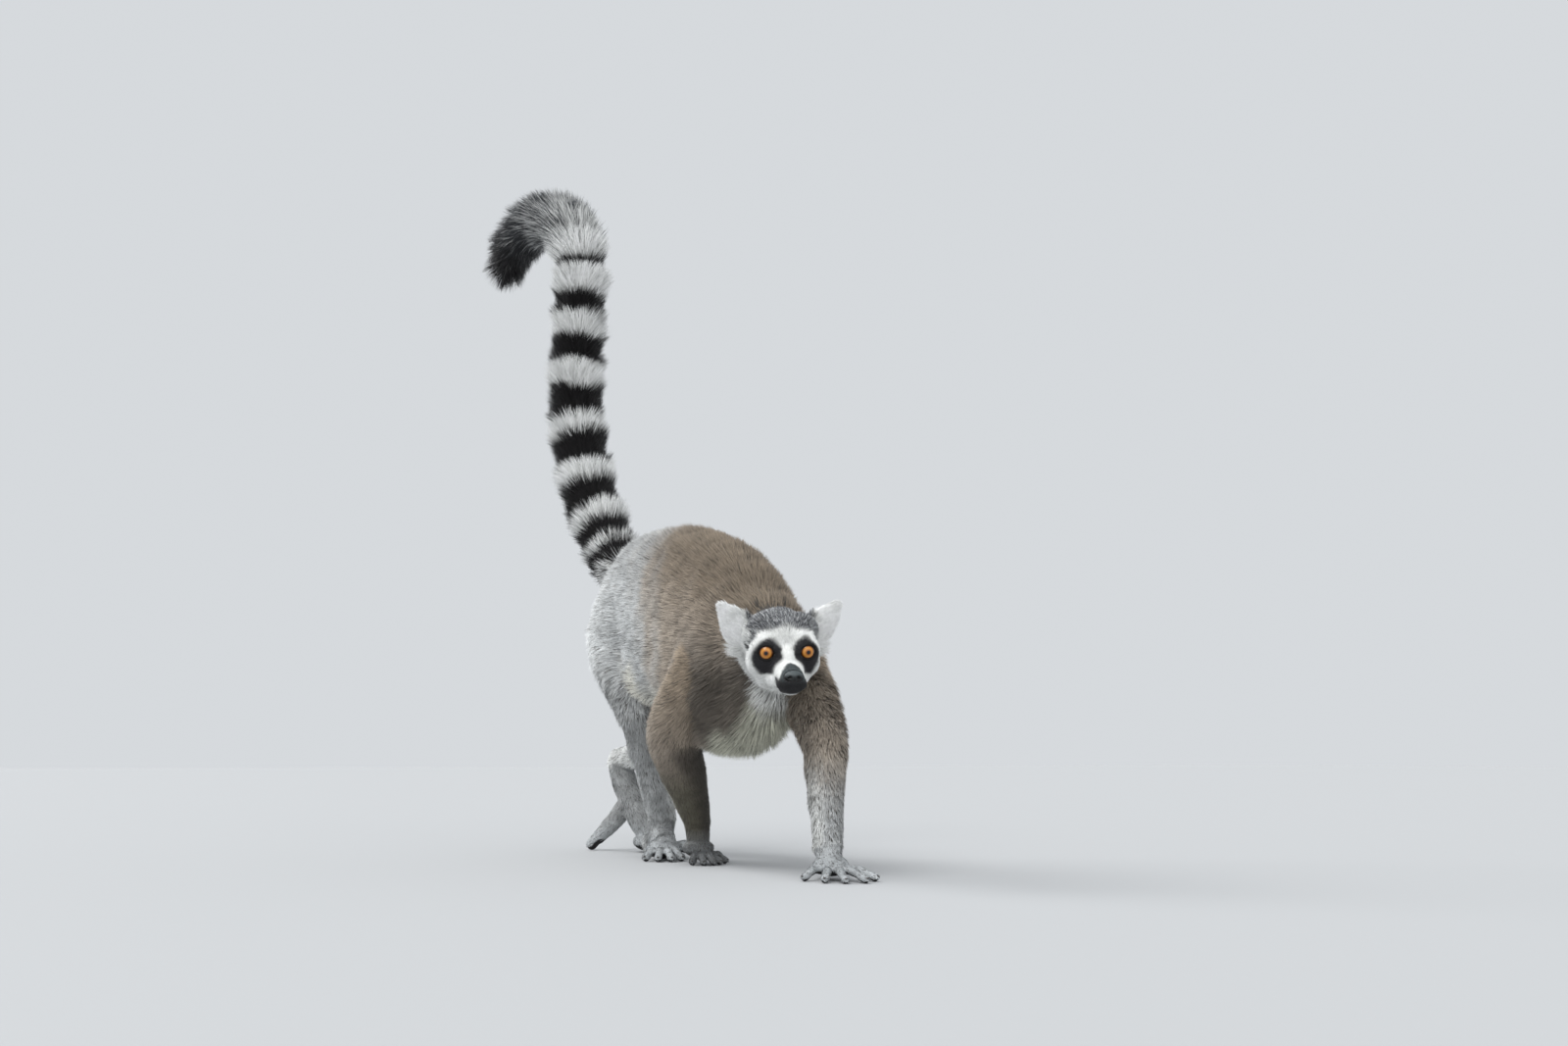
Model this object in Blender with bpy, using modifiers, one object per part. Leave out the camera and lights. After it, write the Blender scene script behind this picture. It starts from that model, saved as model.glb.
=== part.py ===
"""Ring-tailed lemur in mid-stride with its tail raised: a still, life-size model.

The animal faces -Y with +Z up and its left side towards +X. It is modelled whole, out to the
tips of its coat, and then parted by thin cuts where a person would name its parts.
"""

import math

import bmesh
import bpy
import numpy as np
from mathutils import Euler, Matrix, Vector
from mathutils.bvhtree import BVHTree

NAME = "ring_tailed_lemur"
MM = 0.001

GAP = 0.3 * MM  # between parts that touch
BODY_VOXEL = 5 * MM  # blends the limbs into the trunk
FINE_VOXEL = 2 * MM  # keeps digits and ears
TRIANGLES = 3370
SOLE_DEPTH = 1.2 * MM  # how far the pads are pressed flat

# Trunk: place along the body, height of its back and height of its belly, from breast to rump.
TRUNK = [
    (-0.176, 0.186, 0.134),
    (-0.140, 0.236, 0.098),
    (-0.095, 0.266, 0.091),
    (-0.045, 0.289, 0.106),
    (0.005, 0.302, 0.126),
    (0.055, 0.308, 0.144),
    (0.105, 0.305, 0.158),
    (0.150, 0.292, 0.185),
    (0.182, 0.272, 0.228),
]
TRUNK_BREADTH = 0.60  # of its depth
FLESH = {  # centre, half sizes and roll outward in degrees, on each side of the trunk
    "shoulder": ((0.029, -0.112, 0.180), (0.027, 0.044, 0.054), 8),
    "haunch": ((0.025, 0.098, 0.203), (0.031, 0.056, 0.062), 0),
    "flank": ((0.026, 0.030, 0.172), (0.022, 0.046, 0.040), 0),
}
NECK = [((0, -0.110, 0.202), 0.046), ((-0.003, -0.172, 0.182), 0.040)]
ENVELOPE = 4 * MM  # limbs, neck and tail are parted this far outside the trunk
HEAD_ENVELOPE = 3 * MM  # and the neck this far outside the head

# Joints of each limb, with the radius of the coat round them.
SHOULDER_R, ELBOW_R, WRIST_R = (-0.036, -0.112, 0.166), (-0.037, -0.053, 0.109), (0.009, 0.002, 0.036)
SHOULDER_L, ELBOW_L, WRIST_L = (0.033, -0.143, 0.168), (0.032, -0.190, 0.106), (0.032, -0.196, 0.024)
HIP_R, KNEE_R, ANKLE_R = (-0.024, 0.104, 0.205), (-0.026, 0.048, 0.134), (0.010, 0.086, 0.036)
HIP_L, KNEE_L, ANKLE_L = (0.024, 0.104, 0.205), (0.046, 0.088, 0.122), (0.018, 0.196, 0.090)
ARM_R_RADII = (0.028, 0.029, 0.0260, 0.0210, 0.0140)
ARM_L_RADII = (0.027, 0.026, 0.0220, 0.0175, 0.0135)
LEG_RADII = (0.036, 0.036, 0.0270, 0.0200, 0.0150)

# Hands: the palm's middle, where the fingers point in degrees, and the fingers from thumb out.
PALM_R, PALM_L = (0.010, 0.002, 0.0130), (0.028, -0.208, 0.0105)
PALM_SIZE = (0.0145, 0.018, 0.0095)
HAND_HEADING = -8
FINGERS_R = [(0.027, -45), (0.034, -18), (0.038, -5), (0.039, 9), (0.034, 24)]
FINGERS_L = [(0.030, -62), (0.040, -27), (0.046, -7), (0.048, 12), (0.041, 34)]
FINGER_RADIUS = 4.6 * MM
FINGER_ROOT = 8.5 * MM
DIGIT_REACH = 12 * MM  # from the hub to where the digits come free

# Feet: the right one flat, the left one up on its toes; toes are (length, angle) from inside out.
HEEL_R, BALL_R = (0.011, 0.104, 0.0125), (0.000, 0.056, 0.0115)
HEEL_L, BALL_L = (0.013, 0.204, 0.086), (0.030, 0.169, 0.016)
SOLE_R = [(0.009, 0.086, 0.022, 0.0150), (0.006, 0.072, 0.0155, 0.0135), (*BALL_R, 0.0115)]
SOLE_L = [(*HEEL_L, 0.0150), (0.018, 0.196, 0.060, 0.0145), (0.025, 0.182, 0.034, 0.0140),
          (*BALL_L, 0.0125)]
ANKLE_RADIUS = 14.5 * MM
HEEL_SIZE = (0.0125, 0.016, 0.0135)
BALL_SIZE_R, BALL_SIZE_L = (0.0185, 0.017, 0.0105), (0.018, 0.015, 0.0105)
TOES_R = [(0.036, 14), (0.040, -3), (0.039, -20), (0.034, -40)]
TOES_L = [(0.036, -22), (0.040, -5), (0.039, 12), (0.034, 32)]
TOE_RADIUS = 5.0 * MM
HALLUX_R = ((0.010, 0.068, 0.010), (0.030, 0.040, 0.0054), 0.0066)
HALLUX_L = ((0.017, 0.191, 0.040), (-0.009, 0.222, 0.0058), 0.0072)
HALLUX_BASE_L = [(0.019, 0.190, 0.050, 0.0125), (0.008, 0.202, 0.030, 0.0100)]

# Tail: the middle of its course and its coat's radius there.
TAIL = [
    ((0.000, 0.158, 0.258), 0.028),
    ((-0.009, 0.188, 0.302), 0.0305),
    ((-0.022, 0.222, 0.372), 0.0335),
    ((-0.029, 0.240, 0.455), 0.0375),
    ((-0.029, 0.240, 0.545), 0.040),
    ((-0.028, 0.239, 0.608), 0.040),
    ((-0.035, 0.259, 0.652), 0.037),
    ((-0.051, 0.300, 0.674), 0.033),
    ((-0.066, 0.337, 0.662), 0.029),
    ((-0.075, 0.355, 0.628), 0.022),
    ((-0.077, 0.359, 0.606), 0.009),
]
TAIL_STEPS = 96
RINGS = 13
RING_RELIEF = 3.5 * MM  # how far the white rings stand out and the dark ones lie lower
LAST_RING = 0.82  # of the tail's length
TAIL_CUTS = (0.13, 0.30, 0.47, 0.64, 0.80)

# Head: its middle, and how it is turned, nodded and tilted, in degrees.
HEAD = (-0.0070, -0.1915, 0.1750)
HEAD_NOD, HEAD_TILT, HEAD_TURN = 13.0, -2.0, -16.4
EYE = (0.0152, -0.0234, 0.0026)
EYE_RADIUS = 8.2 * MM
HEAD_SHAPES = {
    "braincase": ((0, 0.004, 0.007), (0.0325, 0.036, 0.029)),
    "face": ((0, -0.004, 0.000), (0.0355, 0.029, 0.029)),
    "jaw": ((0, -0.014, -0.015), (0.0245, 0.024, 0.0155)),
    "brow": ((0, -0.018, 0.012), (0.0235, 0.013, 0.011)),
    "muzzle_root": ((0, -0.027, -0.0115), (0.0165, 0.018, 0.0135)),
    "muzzle_middle": ((0, -0.040, -0.0142), (0.0135, 0.016, 0.0120)),
    "muzzle_tip": ((0, -0.0485, -0.0165), (0.0118, 0.0105, 0.0108)),
    "chin": ((0, -0.041, -0.0235), (0.0095, 0.012, 0.0062)),
}
NOSE = (0, -0.0570, -0.0122)
NOSE_SIZE = (0.0066, 0.0044, 0.0048)
EAR_ROOT, EAR_TIP = (0.0240, 0.006, 0.007), (0.0435, 0.002, 0.0330)
EAR_RADII = (0.0155, 0.0155, 0.0138, 0.0110, 0.0060)
EAR_FLATNESS = 0.45
EAR_FACING = 14  # degrees that the cup looks outward
EAR_CUP = (0.0072, 0.0042, 0.0120)
EAR_TRIANGLES = 120
MUZZLE_SLIT = (0, -0.0385, -0.0145)
EYE_OPENING = (0.0066, 0.0098, 0.014)  # radius behind and in front, and depth
EYE_OPENING_START = 3.5 * MM
EYE_SPLAY = (0.30, -1, 0.02)  # the way that the left opening looks

COLOURS = {
    "back": (0.30, 0.26, 0.22),
    "grey": (0.46, 0.46, 0.44),
    "white": (0.72, 0.74, 0.73),
    "pale_grey": (0.52, 0.53, 0.52),
    "tail_white": (0.62, 0.63, 0.61),
    "tail_black": (0.035, 0.033, 0.032),
    "amber": (0.55, 0.22, 0.04),
    "nose_black": (0.03, 0.032, 0.034),
}
PART_COLOURS = {
    "head": "white", "ear": "white", "neck": "white", "ruff": "white", "eye": "amber",
    "muzzle": "nose_black", "nose": "nose_black", "chest": "back", "abdomen": "back",
    "upper_arm": "back", "shank": "pale_grey", "hand": "pale_grey", "foot": "pale_grey",
}
COAT_ROUGHNESS = 0.8
EYE_ROUGHNESS = 0.2

# Cuts: how far each kind reaches out from its middle.
TRUNK_CUT, SIDE_CUT, MUZZLE_CUT = 0.130, 0.110, 0.026
ARM_CUT, LEG_CUT, WRIST_CUT = 0.045, 0.055, 0.028
TAIL_CUT_MARGIN = 0.015


def clear_scene():
    for obj in list(bpy.data.objects):
        bpy.data.objects.remove(obj, do_unlink=True)


def new_collection(name, helper=False):
    collection = bpy.data.collections.new(name)
    collection.hide_render = helper
    bpy.context.scene.collection.children.link(collection)
    return collection


def material(name, roughness):
    made = bpy.data.materials.get(name)
    if made is None:
        made = bpy.data.materials.new(name)
        made.use_nodes = True
        shader = made.node_tree.nodes["Principled BSDF"]
        shader.inputs["Base Color"].default_value = (*COLOURS[name], 1)
        shader.inputs["Roughness"].default_value = roughness
        shader.inputs["Metallic"].default_value = 0.0
    return made


def new_object(name, mesh, collection):
    obj = bpy.data.objects.new(name, mesh)
    collection.objects.link(obj)
    return obj


def helper_object(name, mesh, helpers):
    obj = new_object(name, mesh, helpers)
    obj.hide_render = True
    obj.display_type = "WIRE"
    return obj


def ball(name, centre, half_sizes, helpers, turn=None, segments=32):
    """An ellipsoid, with turn as a rotation about its own centre."""
    mesh = bpy.data.meshes.new(name)
    shape = bmesh.new()
    bmesh.ops.create_uvsphere(shape, u_segments=segments, v_segments=segments // 2, radius=1)
    turned = (turn or Matrix()).to_4x4()
    bmesh.ops.transform(
        shape,
        matrix=Matrix.Translation(centre) @ turned @ Matrix.Diagonal((*half_sizes, 1)),
        verts=shape.verts,
    )
    shape.to_mesh(mesh)
    shape.free()
    return helper_object(name, mesh, helpers)


def smooth_path(points, steps):
    """Catmull-Rom through rows of any width, evenly spread over its stretches."""
    rows = np.array(points, float)
    rows = np.vstack([2 * rows[0] - rows[1], rows, 2 * rows[-1] - rows[-2]])
    spans = len(rows) - 3
    path = []
    for place in np.linspace(0, spans, steps):
        i = min(int(place), spans - 1)
        t = place - i
        a, b, c, d = rows[i : i + 4]
        path.append(
            0.5 * (2 * b + (c - a) * t + (2 * a - 5 * b + 4 * c - d) * t**2
                   + (3 * b - a - 3 * c + d) * t**3)
        )
    return np.array(path)


def tube(name, centres, radii, helpers, sides=5):
    """A tapering round bar with a ball on each end, as one mesh object."""
    curve = bpy.data.curves.new(name, "CURVE")
    curve.dimensions = "3D"
    curve.bevel_depth = 1.0
    curve.bevel_resolution = sides
    curve.use_fill_caps = True
    spline = curve.splines.new("POLY")
    spline.points.add(len(centres) - 1)
    for point, centre, radius in zip(spline.points, centres, radii):
        point.co = (*centre, 1)
        point.radius = radius
    source = new_object(name + "_course", curve, helpers)
    bpy.context.view_layer.update()
    graph = bpy.context.evaluated_depsgraph_get()
    mesh = bpy.data.meshes.new_from_object(source.evaluated_get(graph))
    bpy.data.objects.remove(source, do_unlink=True)
    shape = bmesh.new()
    shape.from_mesh(mesh)
    bmesh.ops.remove_doubles(shape, verts=shape.verts, dist=1e-6)
    shape.to_mesh(mesh)
    shape.free()
    pieces = [helper_object(name, mesh, helpers)]
    for place in (0, -1):
        radius = radii[place]
        pieces.append(ball(name + "_end", centres[place], (radius,) * 3, helpers, segments=20))
    return joined(name, pieces, helpers)


def joined(name, objects, helpers):
    """One helper mesh holding all of these, still as loose shells."""
    shape = bmesh.new()
    for obj in objects:
        mesh = obj.data.copy()
        mesh.transform(obj.matrix_world)
        shape.from_mesh(mesh)
        bpy.data.meshes.remove(mesh)
        bpy.data.objects.remove(obj, do_unlink=True)
    mesh = bpy.data.meshes.new(name)
    shape.to_mesh(mesh)
    shape.free()
    return helper_object(name, mesh, helpers)


def apply_modifiers(obj):
    bpy.context.view_layer.update()
    graph = bpy.context.evaluated_depsgraph_get()
    mesh = bpy.data.meshes.new_from_object(obj.evaluated_get(graph))
    obj.modifiers.clear()
    obj.data = mesh
    return obj


def fused(obj, voxel, passes, factor=0.5):
    """Merges loose shells into one skin of even facets and eases its creases."""
    remesh = obj.modifiers.new("Remesh", "REMESH")
    remesh.mode = "VOXEL"
    remesh.voxel_size = voxel
    if passes:
        ease = obj.modifiers.new("Smooth", "SMOOTH")
        ease.iterations = passes
        ease.factor = factor
    return apply_modifiers(obj)


def thinned(obj, triangles):
    """The same mesh in about this many triangles."""
    obj.data.calc_loop_triangles()
    thin = obj.modifiers.new("Decimate", "DECIMATE")
    thin.ratio = min(1.0, triangles / len(obj.data.loop_triangles))
    return apply_modifiers(obj)


def boolean(obj, other, operation):
    cut = obj.modifiers.new("Boolean", "BOOLEAN")
    cut.operation = operation
    cut.solver = "EXACT"
    cut.object = other
    apply_modifiers(obj)
    bpy.data.objects.remove(other, do_unlink=True)
    return obj


def along(start, end, share):
    return tuple(Vector(start).lerp(Vector(end), share))


def limb(name, root, middle, end, radii, helpers):
    """Shoulder or hip to wrist or ankle: a fleshy upper length and a slimmer lower one."""
    rows = [
        (*root, radii[0]),
        (*along(root, middle, 0.5), radii[1]),
        (*middle, radii[2]),
        (*along(middle, end, 0.5), radii[3]),
        (*end, radii[4]),
    ]
    path = smooth_path(rows, 17)
    return tube(name, path[:, :3], path[:, 3], helpers)


# ---- trunk and tail ----


def barrel(helpers, margin=0.0):
    """The trunk, deep and narrow."""
    rows = smooth_path([(y, (top + belly) / 2, (top - belly) / 2) for y, top, belly in TRUNK], 33)
    made = tube("barrel", [(0, y, z) for y, z, _ in rows], rows[:, 2] + margin, helpers, sides=8)
    made.data.transform(Matrix.Diagonal((TRUNK_BREADTH + 8 * margin, 1, 1, 1)))
    return made


def neck(helpers):
    return tube("neck", [centre for centre, _ in NECK], [radius for _, radius in NECK], helpers)


def flesh_pieces(helpers):
    pieces = []
    for name, ((x, y, z), half_sizes, roll) in FLESH.items():
        for side in (1, -1):
            turn = Matrix.Rotation(math.radians(-side * roll), 3, "Y")
            pieces.append(ball(name, (side * x, y, z), half_sizes, helpers, turn))
    return pieces


def tail_course():
    """Centres and coat radii along the tail, with the white rings standing out."""
    path = smooth_path([(*centre, radius) for centre, radius in TAIL], TAIL_STEPS)
    lengths = np.linalg.norm(np.diff(path[:, :3], axis=0), axis=1)
    share = np.concatenate([[0], np.cumsum(lengths)]) / lengths.sum()
    relief = RING_RELIEF * np.cos(2 * math.pi * RINGS * share) * (share < LAST_RING)
    return path[:, :3], path[:, 3] + relief, share


def tail_place(share):
    """Centre, direction and radius at a share of the tail's length."""
    centres, radii, shares = tail_course()
    i = int(np.clip(np.searchsorted(shares, share), 1, len(shares) - 2))
    direction = Vector(centres[i + 1] - centres[i - 1]).normalized()
    return Vector(centres[i]), direction, float(radii[i])


# ---- hands and feet ----


def digit(name, root, tip, radius, helpers):
    """A finger or toe: level, slightly arched, with a fuller pad at its tip."""
    knuckle = Vector(root).lerp(Vector(tip), 0.45) + Vector((0, 0, 0.6 * radius))
    rows = [(*root, 1.05 * radius), (*knuckle, radius), (*along(knuckle, tip, 0.8), 0.95 * radius),
            (*tip, radius)]
    path = smooth_path(rows, 7)
    return tube(name, path[:, :3], path[:, 3], helpers, sides=3)


def spread_digits(name, hub, heading, fan, radius, root_height, helpers):
    """Digits fanned from a palm or sole; heading and angles are degrees, outward to +X."""
    pieces = []
    for number, (length, angle) in enumerate(fan):
        aim = math.radians(heading + angle)
        direction = Vector((math.sin(aim), -math.cos(aim), 0))
        root = Vector(hub) + direction * DIGIT_REACH
        root.z = root_height
        tip = Vector(hub) + direction * length
        tip.z = radius - SOLE_DEPTH
        pieces.append(digit(f"{name}_{number}", root, tip, radius, helpers))
    return pieces


def hand(name, wrist, palm, fingers, side, helpers):
    """Five fingers, with the thumb held out on the inner side."""
    turn = Matrix.Rotation(math.radians(HAND_HEADING), 3, "Z")
    pieces = [ball(name + "_palm", palm, PALM_SIZE, helpers, turn, segments=24)]
    rows = [(*wrist, 0.0135), (*along(wrist, palm, 0.5), 0.0125), (*palm, 0.010)]
    path = smooth_path(rows, 5)
    pieces.append(tube(name + "_heel", path[:, :3], path[:, 3], helpers))
    fan = [(length, side * angle) for length, angle in fingers]
    hub = (palm[0], palm[1], 0)
    pieces += spread_digits(name, hub, HAND_HEADING, fan, FINGER_RADIUS, FINGER_ROOT, helpers)
    return pieces


def foot_right(helpers):
    """The forward hind foot, flat on the floor."""
    path = smooth_path([(*ANKLE_R, ANKLE_RADIUS), *SOLE_R], 7)
    return [
        tube("foot_right_sole", path[:, :3], path[:, 3], helpers),
        ball("foot_right_heel", HEEL_R, HEEL_SIZE, helpers),
        ball("foot_right_ball", BALL_R, BALL_SIZE_R, helpers),
        *spread_digits("foot_right", (0.000, 0.060, 0), -8, TOES_R, TOE_RADIUS, 0.009, helpers),
        digit("foot_right_hallux", *HALLUX_R, helpers),
    ]


def foot_left(helpers):
    """The trailing hind foot, up on its toes, with the great toe held back and inward."""
    path = smooth_path([(*ANKLE_L, ANKLE_RADIUS), *SOLE_L], 11)
    return [
        tube("foot_left_sole", path[:, :3], path[:, 3], helpers),
        ball("foot_left_ball", (0.030, 0.166, 0.0115), BALL_SIZE_L, helpers),
        *spread_digits("foot_left", (0.030, 0.170, 0), 4, TOES_L, TOE_RADIUS, 0.010, helpers),
        digit("foot_left_hallux", *HALLUX_L, helpers),
        tube("foot_left_base", [row[:3] for row in HALLUX_BASE_L],
             [row[3] for row in HALLUX_BASE_L], helpers),
    ]


# ---- head ----


def head_frame():
    """Takes the head's own axes, with its face towards -Y, to the world."""
    turn = Euler((math.radians(HEAD_NOD), math.radians(HEAD_TILT), 0)).to_matrix().to_4x4()
    return Matrix.Translation(HEAD) @ Matrix.Rotation(math.radians(HEAD_TURN), 4, "Z") @ turn


def ear(side, word, helpers):
    """A flattened cone with a shallow cup in its front."""
    root, tip = Vector(EAR_ROOT), Vector(EAR_TIP)
    path = smooth_path(
        [(*root.lerp(tip, i / 4), radius) for i, radius in enumerate(EAR_RADII)], 11)
    solid = tube("ear_" + word, path[:, :3], path[:, 3], helpers)
    up = (tip - root).normalized()
    facing = Vector((math.sin(math.radians(EAR_FACING)), -math.cos(math.radians(EAR_FACING)), 0))
    facing = (facing - facing.dot(up) * up).normalized()
    axes = Matrix((up.cross(facing), facing, up)).transposed().to_4x4()
    flat = axes @ Matrix.Diagonal((1, EAR_FLATNESS, 1, 1)) @ axes.inverted()
    middle = Matrix.Translation(root.lerp(tip, 0.5))
    solid.data.transform(middle @ flat @ middle.inverted())
    fused(solid, 1.2 * MM, 2)
    cup_middle = root.lerp(tip, 0.50) + facing * EAR_CUP[0]
    boolean(solid, ball("ear_cup", cup_middle, EAR_CUP, helpers, axes.to_3x3()), "DIFFERENCE")
    if side < 0:
        solid.data.transform(Matrix.Diagonal((-1, 1, 1, 1)))
        solid.data.flip_normals()
    solid.data.transform(head_frame())
    return thinned(solid, EAR_TRIANGLES)


def ear_and_seat(side, word, whole, helpers):
    """An ear, let into the head in a seat of its own shape."""
    made = ear(side, word, helpers)
    seat = helper_object("ear_seat", made.data.copy(), helpers)
    wider = seat.modifiers.new("Displace", "DISPLACE")
    wider.strength = GAP
    wider.mid_level = 0
    boolean(whole, apply_modifiers(seat), "DIFFERENCE")
    return made


def head_pieces(helpers, margin=0.0):
    pieces = []
    for name, (centre, half_sizes) in HEAD_SHAPES.items():
        grown = tuple(size + margin for size in half_sizes)
        pieces.append(ball(name, centre, grown, helpers))
        pieces[-1].data.transform(head_frame())
    return pieces


def in_head(point, side=1):
    return head_frame() @ Vector((side * point[0], point[1], point[2]))


# ---- parting ----


def slit(name, centre, normal, radius, helpers):
    """A thin disc that parts whatever crosses it."""
    mesh = bpy.data.meshes.new(name)
    shape = bmesh.new()
    bmesh.ops.create_cone(
        shape, cap_ends=True, segments=16, radius1=radius, radius2=radius, depth=GAP)
    turn = Vector(normal).normalized().to_track_quat("Z", "Y").to_matrix().to_4x4()
    bmesh.ops.transform(shape, matrix=Matrix.Translation(centre) @ turn, verts=shape.verts)
    shape.to_mesh(mesh)
    shape.free()
    return helper_object(name, mesh, helpers)


def envelope(name, pieces, voxel, triangles, helpers):
    """A thin closed shell round these, which parts what is inside it from what sticks out."""
    shell = joined(name, pieces, helpers)
    fused(shell, voxel, 4)
    thinned(shell, triangles)
    wall = shell.modifiers.new("Solidify", "SOLIDIFY")
    wall.thickness = GAP
    wall.offset = 1
    return apply_modifiers(shell)


def joint_slits():
    """Flat cuts: the part that each one goes through, its middle, normal and radius."""
    cuts = [
        ("chest", (0, -0.104, 0.180), (0, 1, 0.40), TRUNK_CUT),
        ("chest", (0, -0.030, 0.196), (0, 1, 0.16), TRUNK_CUT),
        ("abdomen", (0, 0.062, 0.220), (0, 1, 0.10), TRUNK_CUT),
        ("upper_arm_left", (0.004, -0.160, 0.150), (1, 0.1, 0), SIDE_CUT),
        ("upper_arm_right", (-0.026, -0.150, 0.170), (1, -0.2, 0.2), SIDE_CUT),
        ("thigh_right", (0, 0.100, 0.160), (1, 0, 0), SIDE_CUT),
        ("head", in_head(MUZZLE_SLIT), in_head(MUZZLE_SLIT) - in_head((0, 0, 0)), MUZZLE_CUT),
    ]
    for part, joints, radius in (
        ("forearm_right", (SHOULDER_R, ELBOW_R, WRIST_R), ARM_CUT),
        ("forearm_left", (SHOULDER_L, ELBOW_L, WRIST_L), ARM_CUT),
        ("shank_right", (HIP_R, KNEE_R, ANKLE_R), LEG_CUT),
        ("shank_left", (HIP_L, KNEE_L, ANKLE_L), LEG_CUT),
    ):
        upper, joint, lower = (Vector(point) for point in joints)
        normal = (lower - joint).normalized() + (joint - upper).normalized()
        cuts.append((part, joint, normal, radius))
    for part, joint, end, share in (
        ("hand_right", ELBOW_R, WRIST_R, 0.93),
        ("hand_left", ELBOW_L, WRIST_L, 0.90),
        ("foot_right", KNEE_R, ANKLE_R, 0.88),
        ("foot_left", KNEE_L, ANKLE_L, 0.84),
    ):
        cuts.append((part, along(joint, end, share), Vector(end) - Vector(joint), WRIST_CUT))
    for number, share in enumerate(TAIL_CUTS):
        centre, direction, radius = tail_place(share)
        cuts.append((f"tail_{number + 2}", centre, direction, radius + TAIL_CUT_MARGIN))
    return cuts


def seeds():
    """A point inside every part, which tells the pieces apart."""
    found = {
        "head": in_head((0, 0, 0.004)),
        "muzzle": in_head((0, -0.047, -0.0165)),
        "neck": Vector((0, -0.150, 0.180)),
        "ruff": Vector((-0.022, -0.170, 0.212)),
        "chest": Vector((0, -0.065, 0.180)),
        "abdomen": Vector((0, 0.030, 0.205)),
        "rump": Vector((0, 0.110, 0.230)),
    }
    for side, word, arm, leg in (
        (-1, "right", (SHOULDER_R, ELBOW_R, WRIST_R), (HIP_R, KNEE_R, ANKLE_R)),
        (1, "left", (SHOULDER_L, ELBOW_L, WRIST_L), (HIP_L, KNEE_L, ANKLE_L)),
    ):
        outward = Vector((side * 0.022, 0, 0))
        found["upper_arm_" + word] = Vector(along(arm[0], arm[1], 0.40)) + outward
        found["forearm_" + word] = Vector(along(arm[1], arm[2], 0.55))
        found["thigh_" + word] = Vector(along(leg[0], leg[1], 0.50)) + outward
        found["shank_" + word] = Vector(along(leg[1], leg[2], 0.50))
    found["hand_left"] = Vector((0.028, -0.214, 0.010))
    found["hand_right"] = Vector((0.009, -0.004, 0.012))
    found["foot_right"] = Vector((0.001, 0.060, 0.011))
    found["foot_left"] = Vector((0.029, 0.172, 0.015))
    edges = (0.05, *TAIL_CUTS, 1.0)
    for number, (start, end) in enumerate(zip(edges, edges[1:])):
        found[f"tail_{number + 1}"] = tail_place(0.6 * start + 0.4 * end)[0]
    return found


def loose_parts(obj, helpers):
    """The mesh's separate shells, each as an object; the object itself goes."""
    whole = bmesh.new()
    whole.from_mesh(obj.data)
    whole.verts.ensure_lookup_table()
    label = [-1] * len(whole.verts)
    count = 0
    for first in whole.verts:
        if label[first.index] >= 0:
            continue
        stack = [first]
        label[first.index] = count
        while stack:
            vert = stack.pop()
            for edge in vert.link_edges:
                other = edge.other_vert(vert)
                if label[other.index] < 0:
                    label[other.index] = count
                    stack.append(other)
        count += 1
    parts = []
    for number in range(count):
        part = whole.copy()
        gone = [vert for vert in part.verts if label[vert.index] != number]
        bmesh.ops.delete(part, geom=gone, context="VERTS")
        mesh = bpy.data.meshes.new("piece")
        part.to_mesh(mesh)
        part.free()
        parts.append(helper_object("piece", mesh, helpers))
    whole.free()
    bpy.data.objects.remove(obj, do_unlink=True)
    return parts


def holds(obj, point):
    """Whether most of three rays say that this point lies within the closed mesh."""
    shape = bmesh.new()
    shape.from_mesh(obj.data)
    tree = BVHTree.FromBMesh(shape)
    shape.free()
    votes = 0
    for direction in ((0.11, 0.23, 0.97), (-0.83, 0.31, 0.46), (0.41, -0.88, -0.23)):
        ray, start, hits = Vector(direction).normalized(), Vector(point), 0
        place = tree.ray_cast(start, ray)[0]
        while place is not None and hits < 40:
            hits += 1
            place = tree.ray_cast(place + ray * 1e-6, ray)[0]
        votes += hits % 2
    return votes >= 2


def part_off(pieces, seed, cutter, helpers):
    """Cuts the one piece that holds the seed, and leaves the others whole."""
    rest = [piece for piece in pieces if not holds(piece, seed)]
    for piece in pieces:
        if piece not in rest:
            rest += loose_parts(boolean(piece, cutter, "DIFFERENCE"), helpers)
    return rest


def parted(whole, helpers):
    """The whole animal as one object for each named part."""
    wanted = seeds()
    shell = envelope("head_envelope", head_pieces(helpers, HEAD_ENVELOPE), 3 * MM, 200, helpers)
    pieces = part_off([whole], wanted["head"], shell, helpers)
    shell = envelope("trunk_envelope", [barrel(helpers, ENVELOPE)], 8 * MM, 300, helpers)
    pieces = part_off(pieces, wanted["chest"], shell, helpers)
    for name, centre, normal, radius in joint_slits():
        cutter = slit(name + "_slit", centre, normal, radius, helpers)
        pieces = part_off(pieces, wanted[name], cutter, helpers)
    named = {}
    for name, seed in wanted.items():
        found = [piece for piece in pieces if holds(piece, seed)]
        if found and found[0] not in named.values():
            named[name] = found[0]
    spare = [piece for piece in pieces if piece not in named.values()]
    for piece in spare:
        bpy.data.objects.remove(piece, do_unlink=True)
    return named


def pressed_flat(obj):
    """Cuts the pads off level with the floor."""
    shape = bmesh.new()
    shape.from_mesh(obj.data)
    cut = bmesh.ops.bisect_plane(
        shape, geom=[*shape.verts, *shape.edges, *shape.faces], plane_co=(0, 0, 0),
        plane_no=(0, 0, 1), clear_inner=True)
    edges = [item for item in cut["geom_cut"] if isinstance(item, bmesh.types.BMEdge)]
    bmesh.ops.holes_fill(shape, edges=edges)
    bmesh.ops.triangulate(shape, faces=[face for face in shape.faces if len(face.verts) > 4])
    shape.to_mesh(obj.data)
    shape.free()


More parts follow.
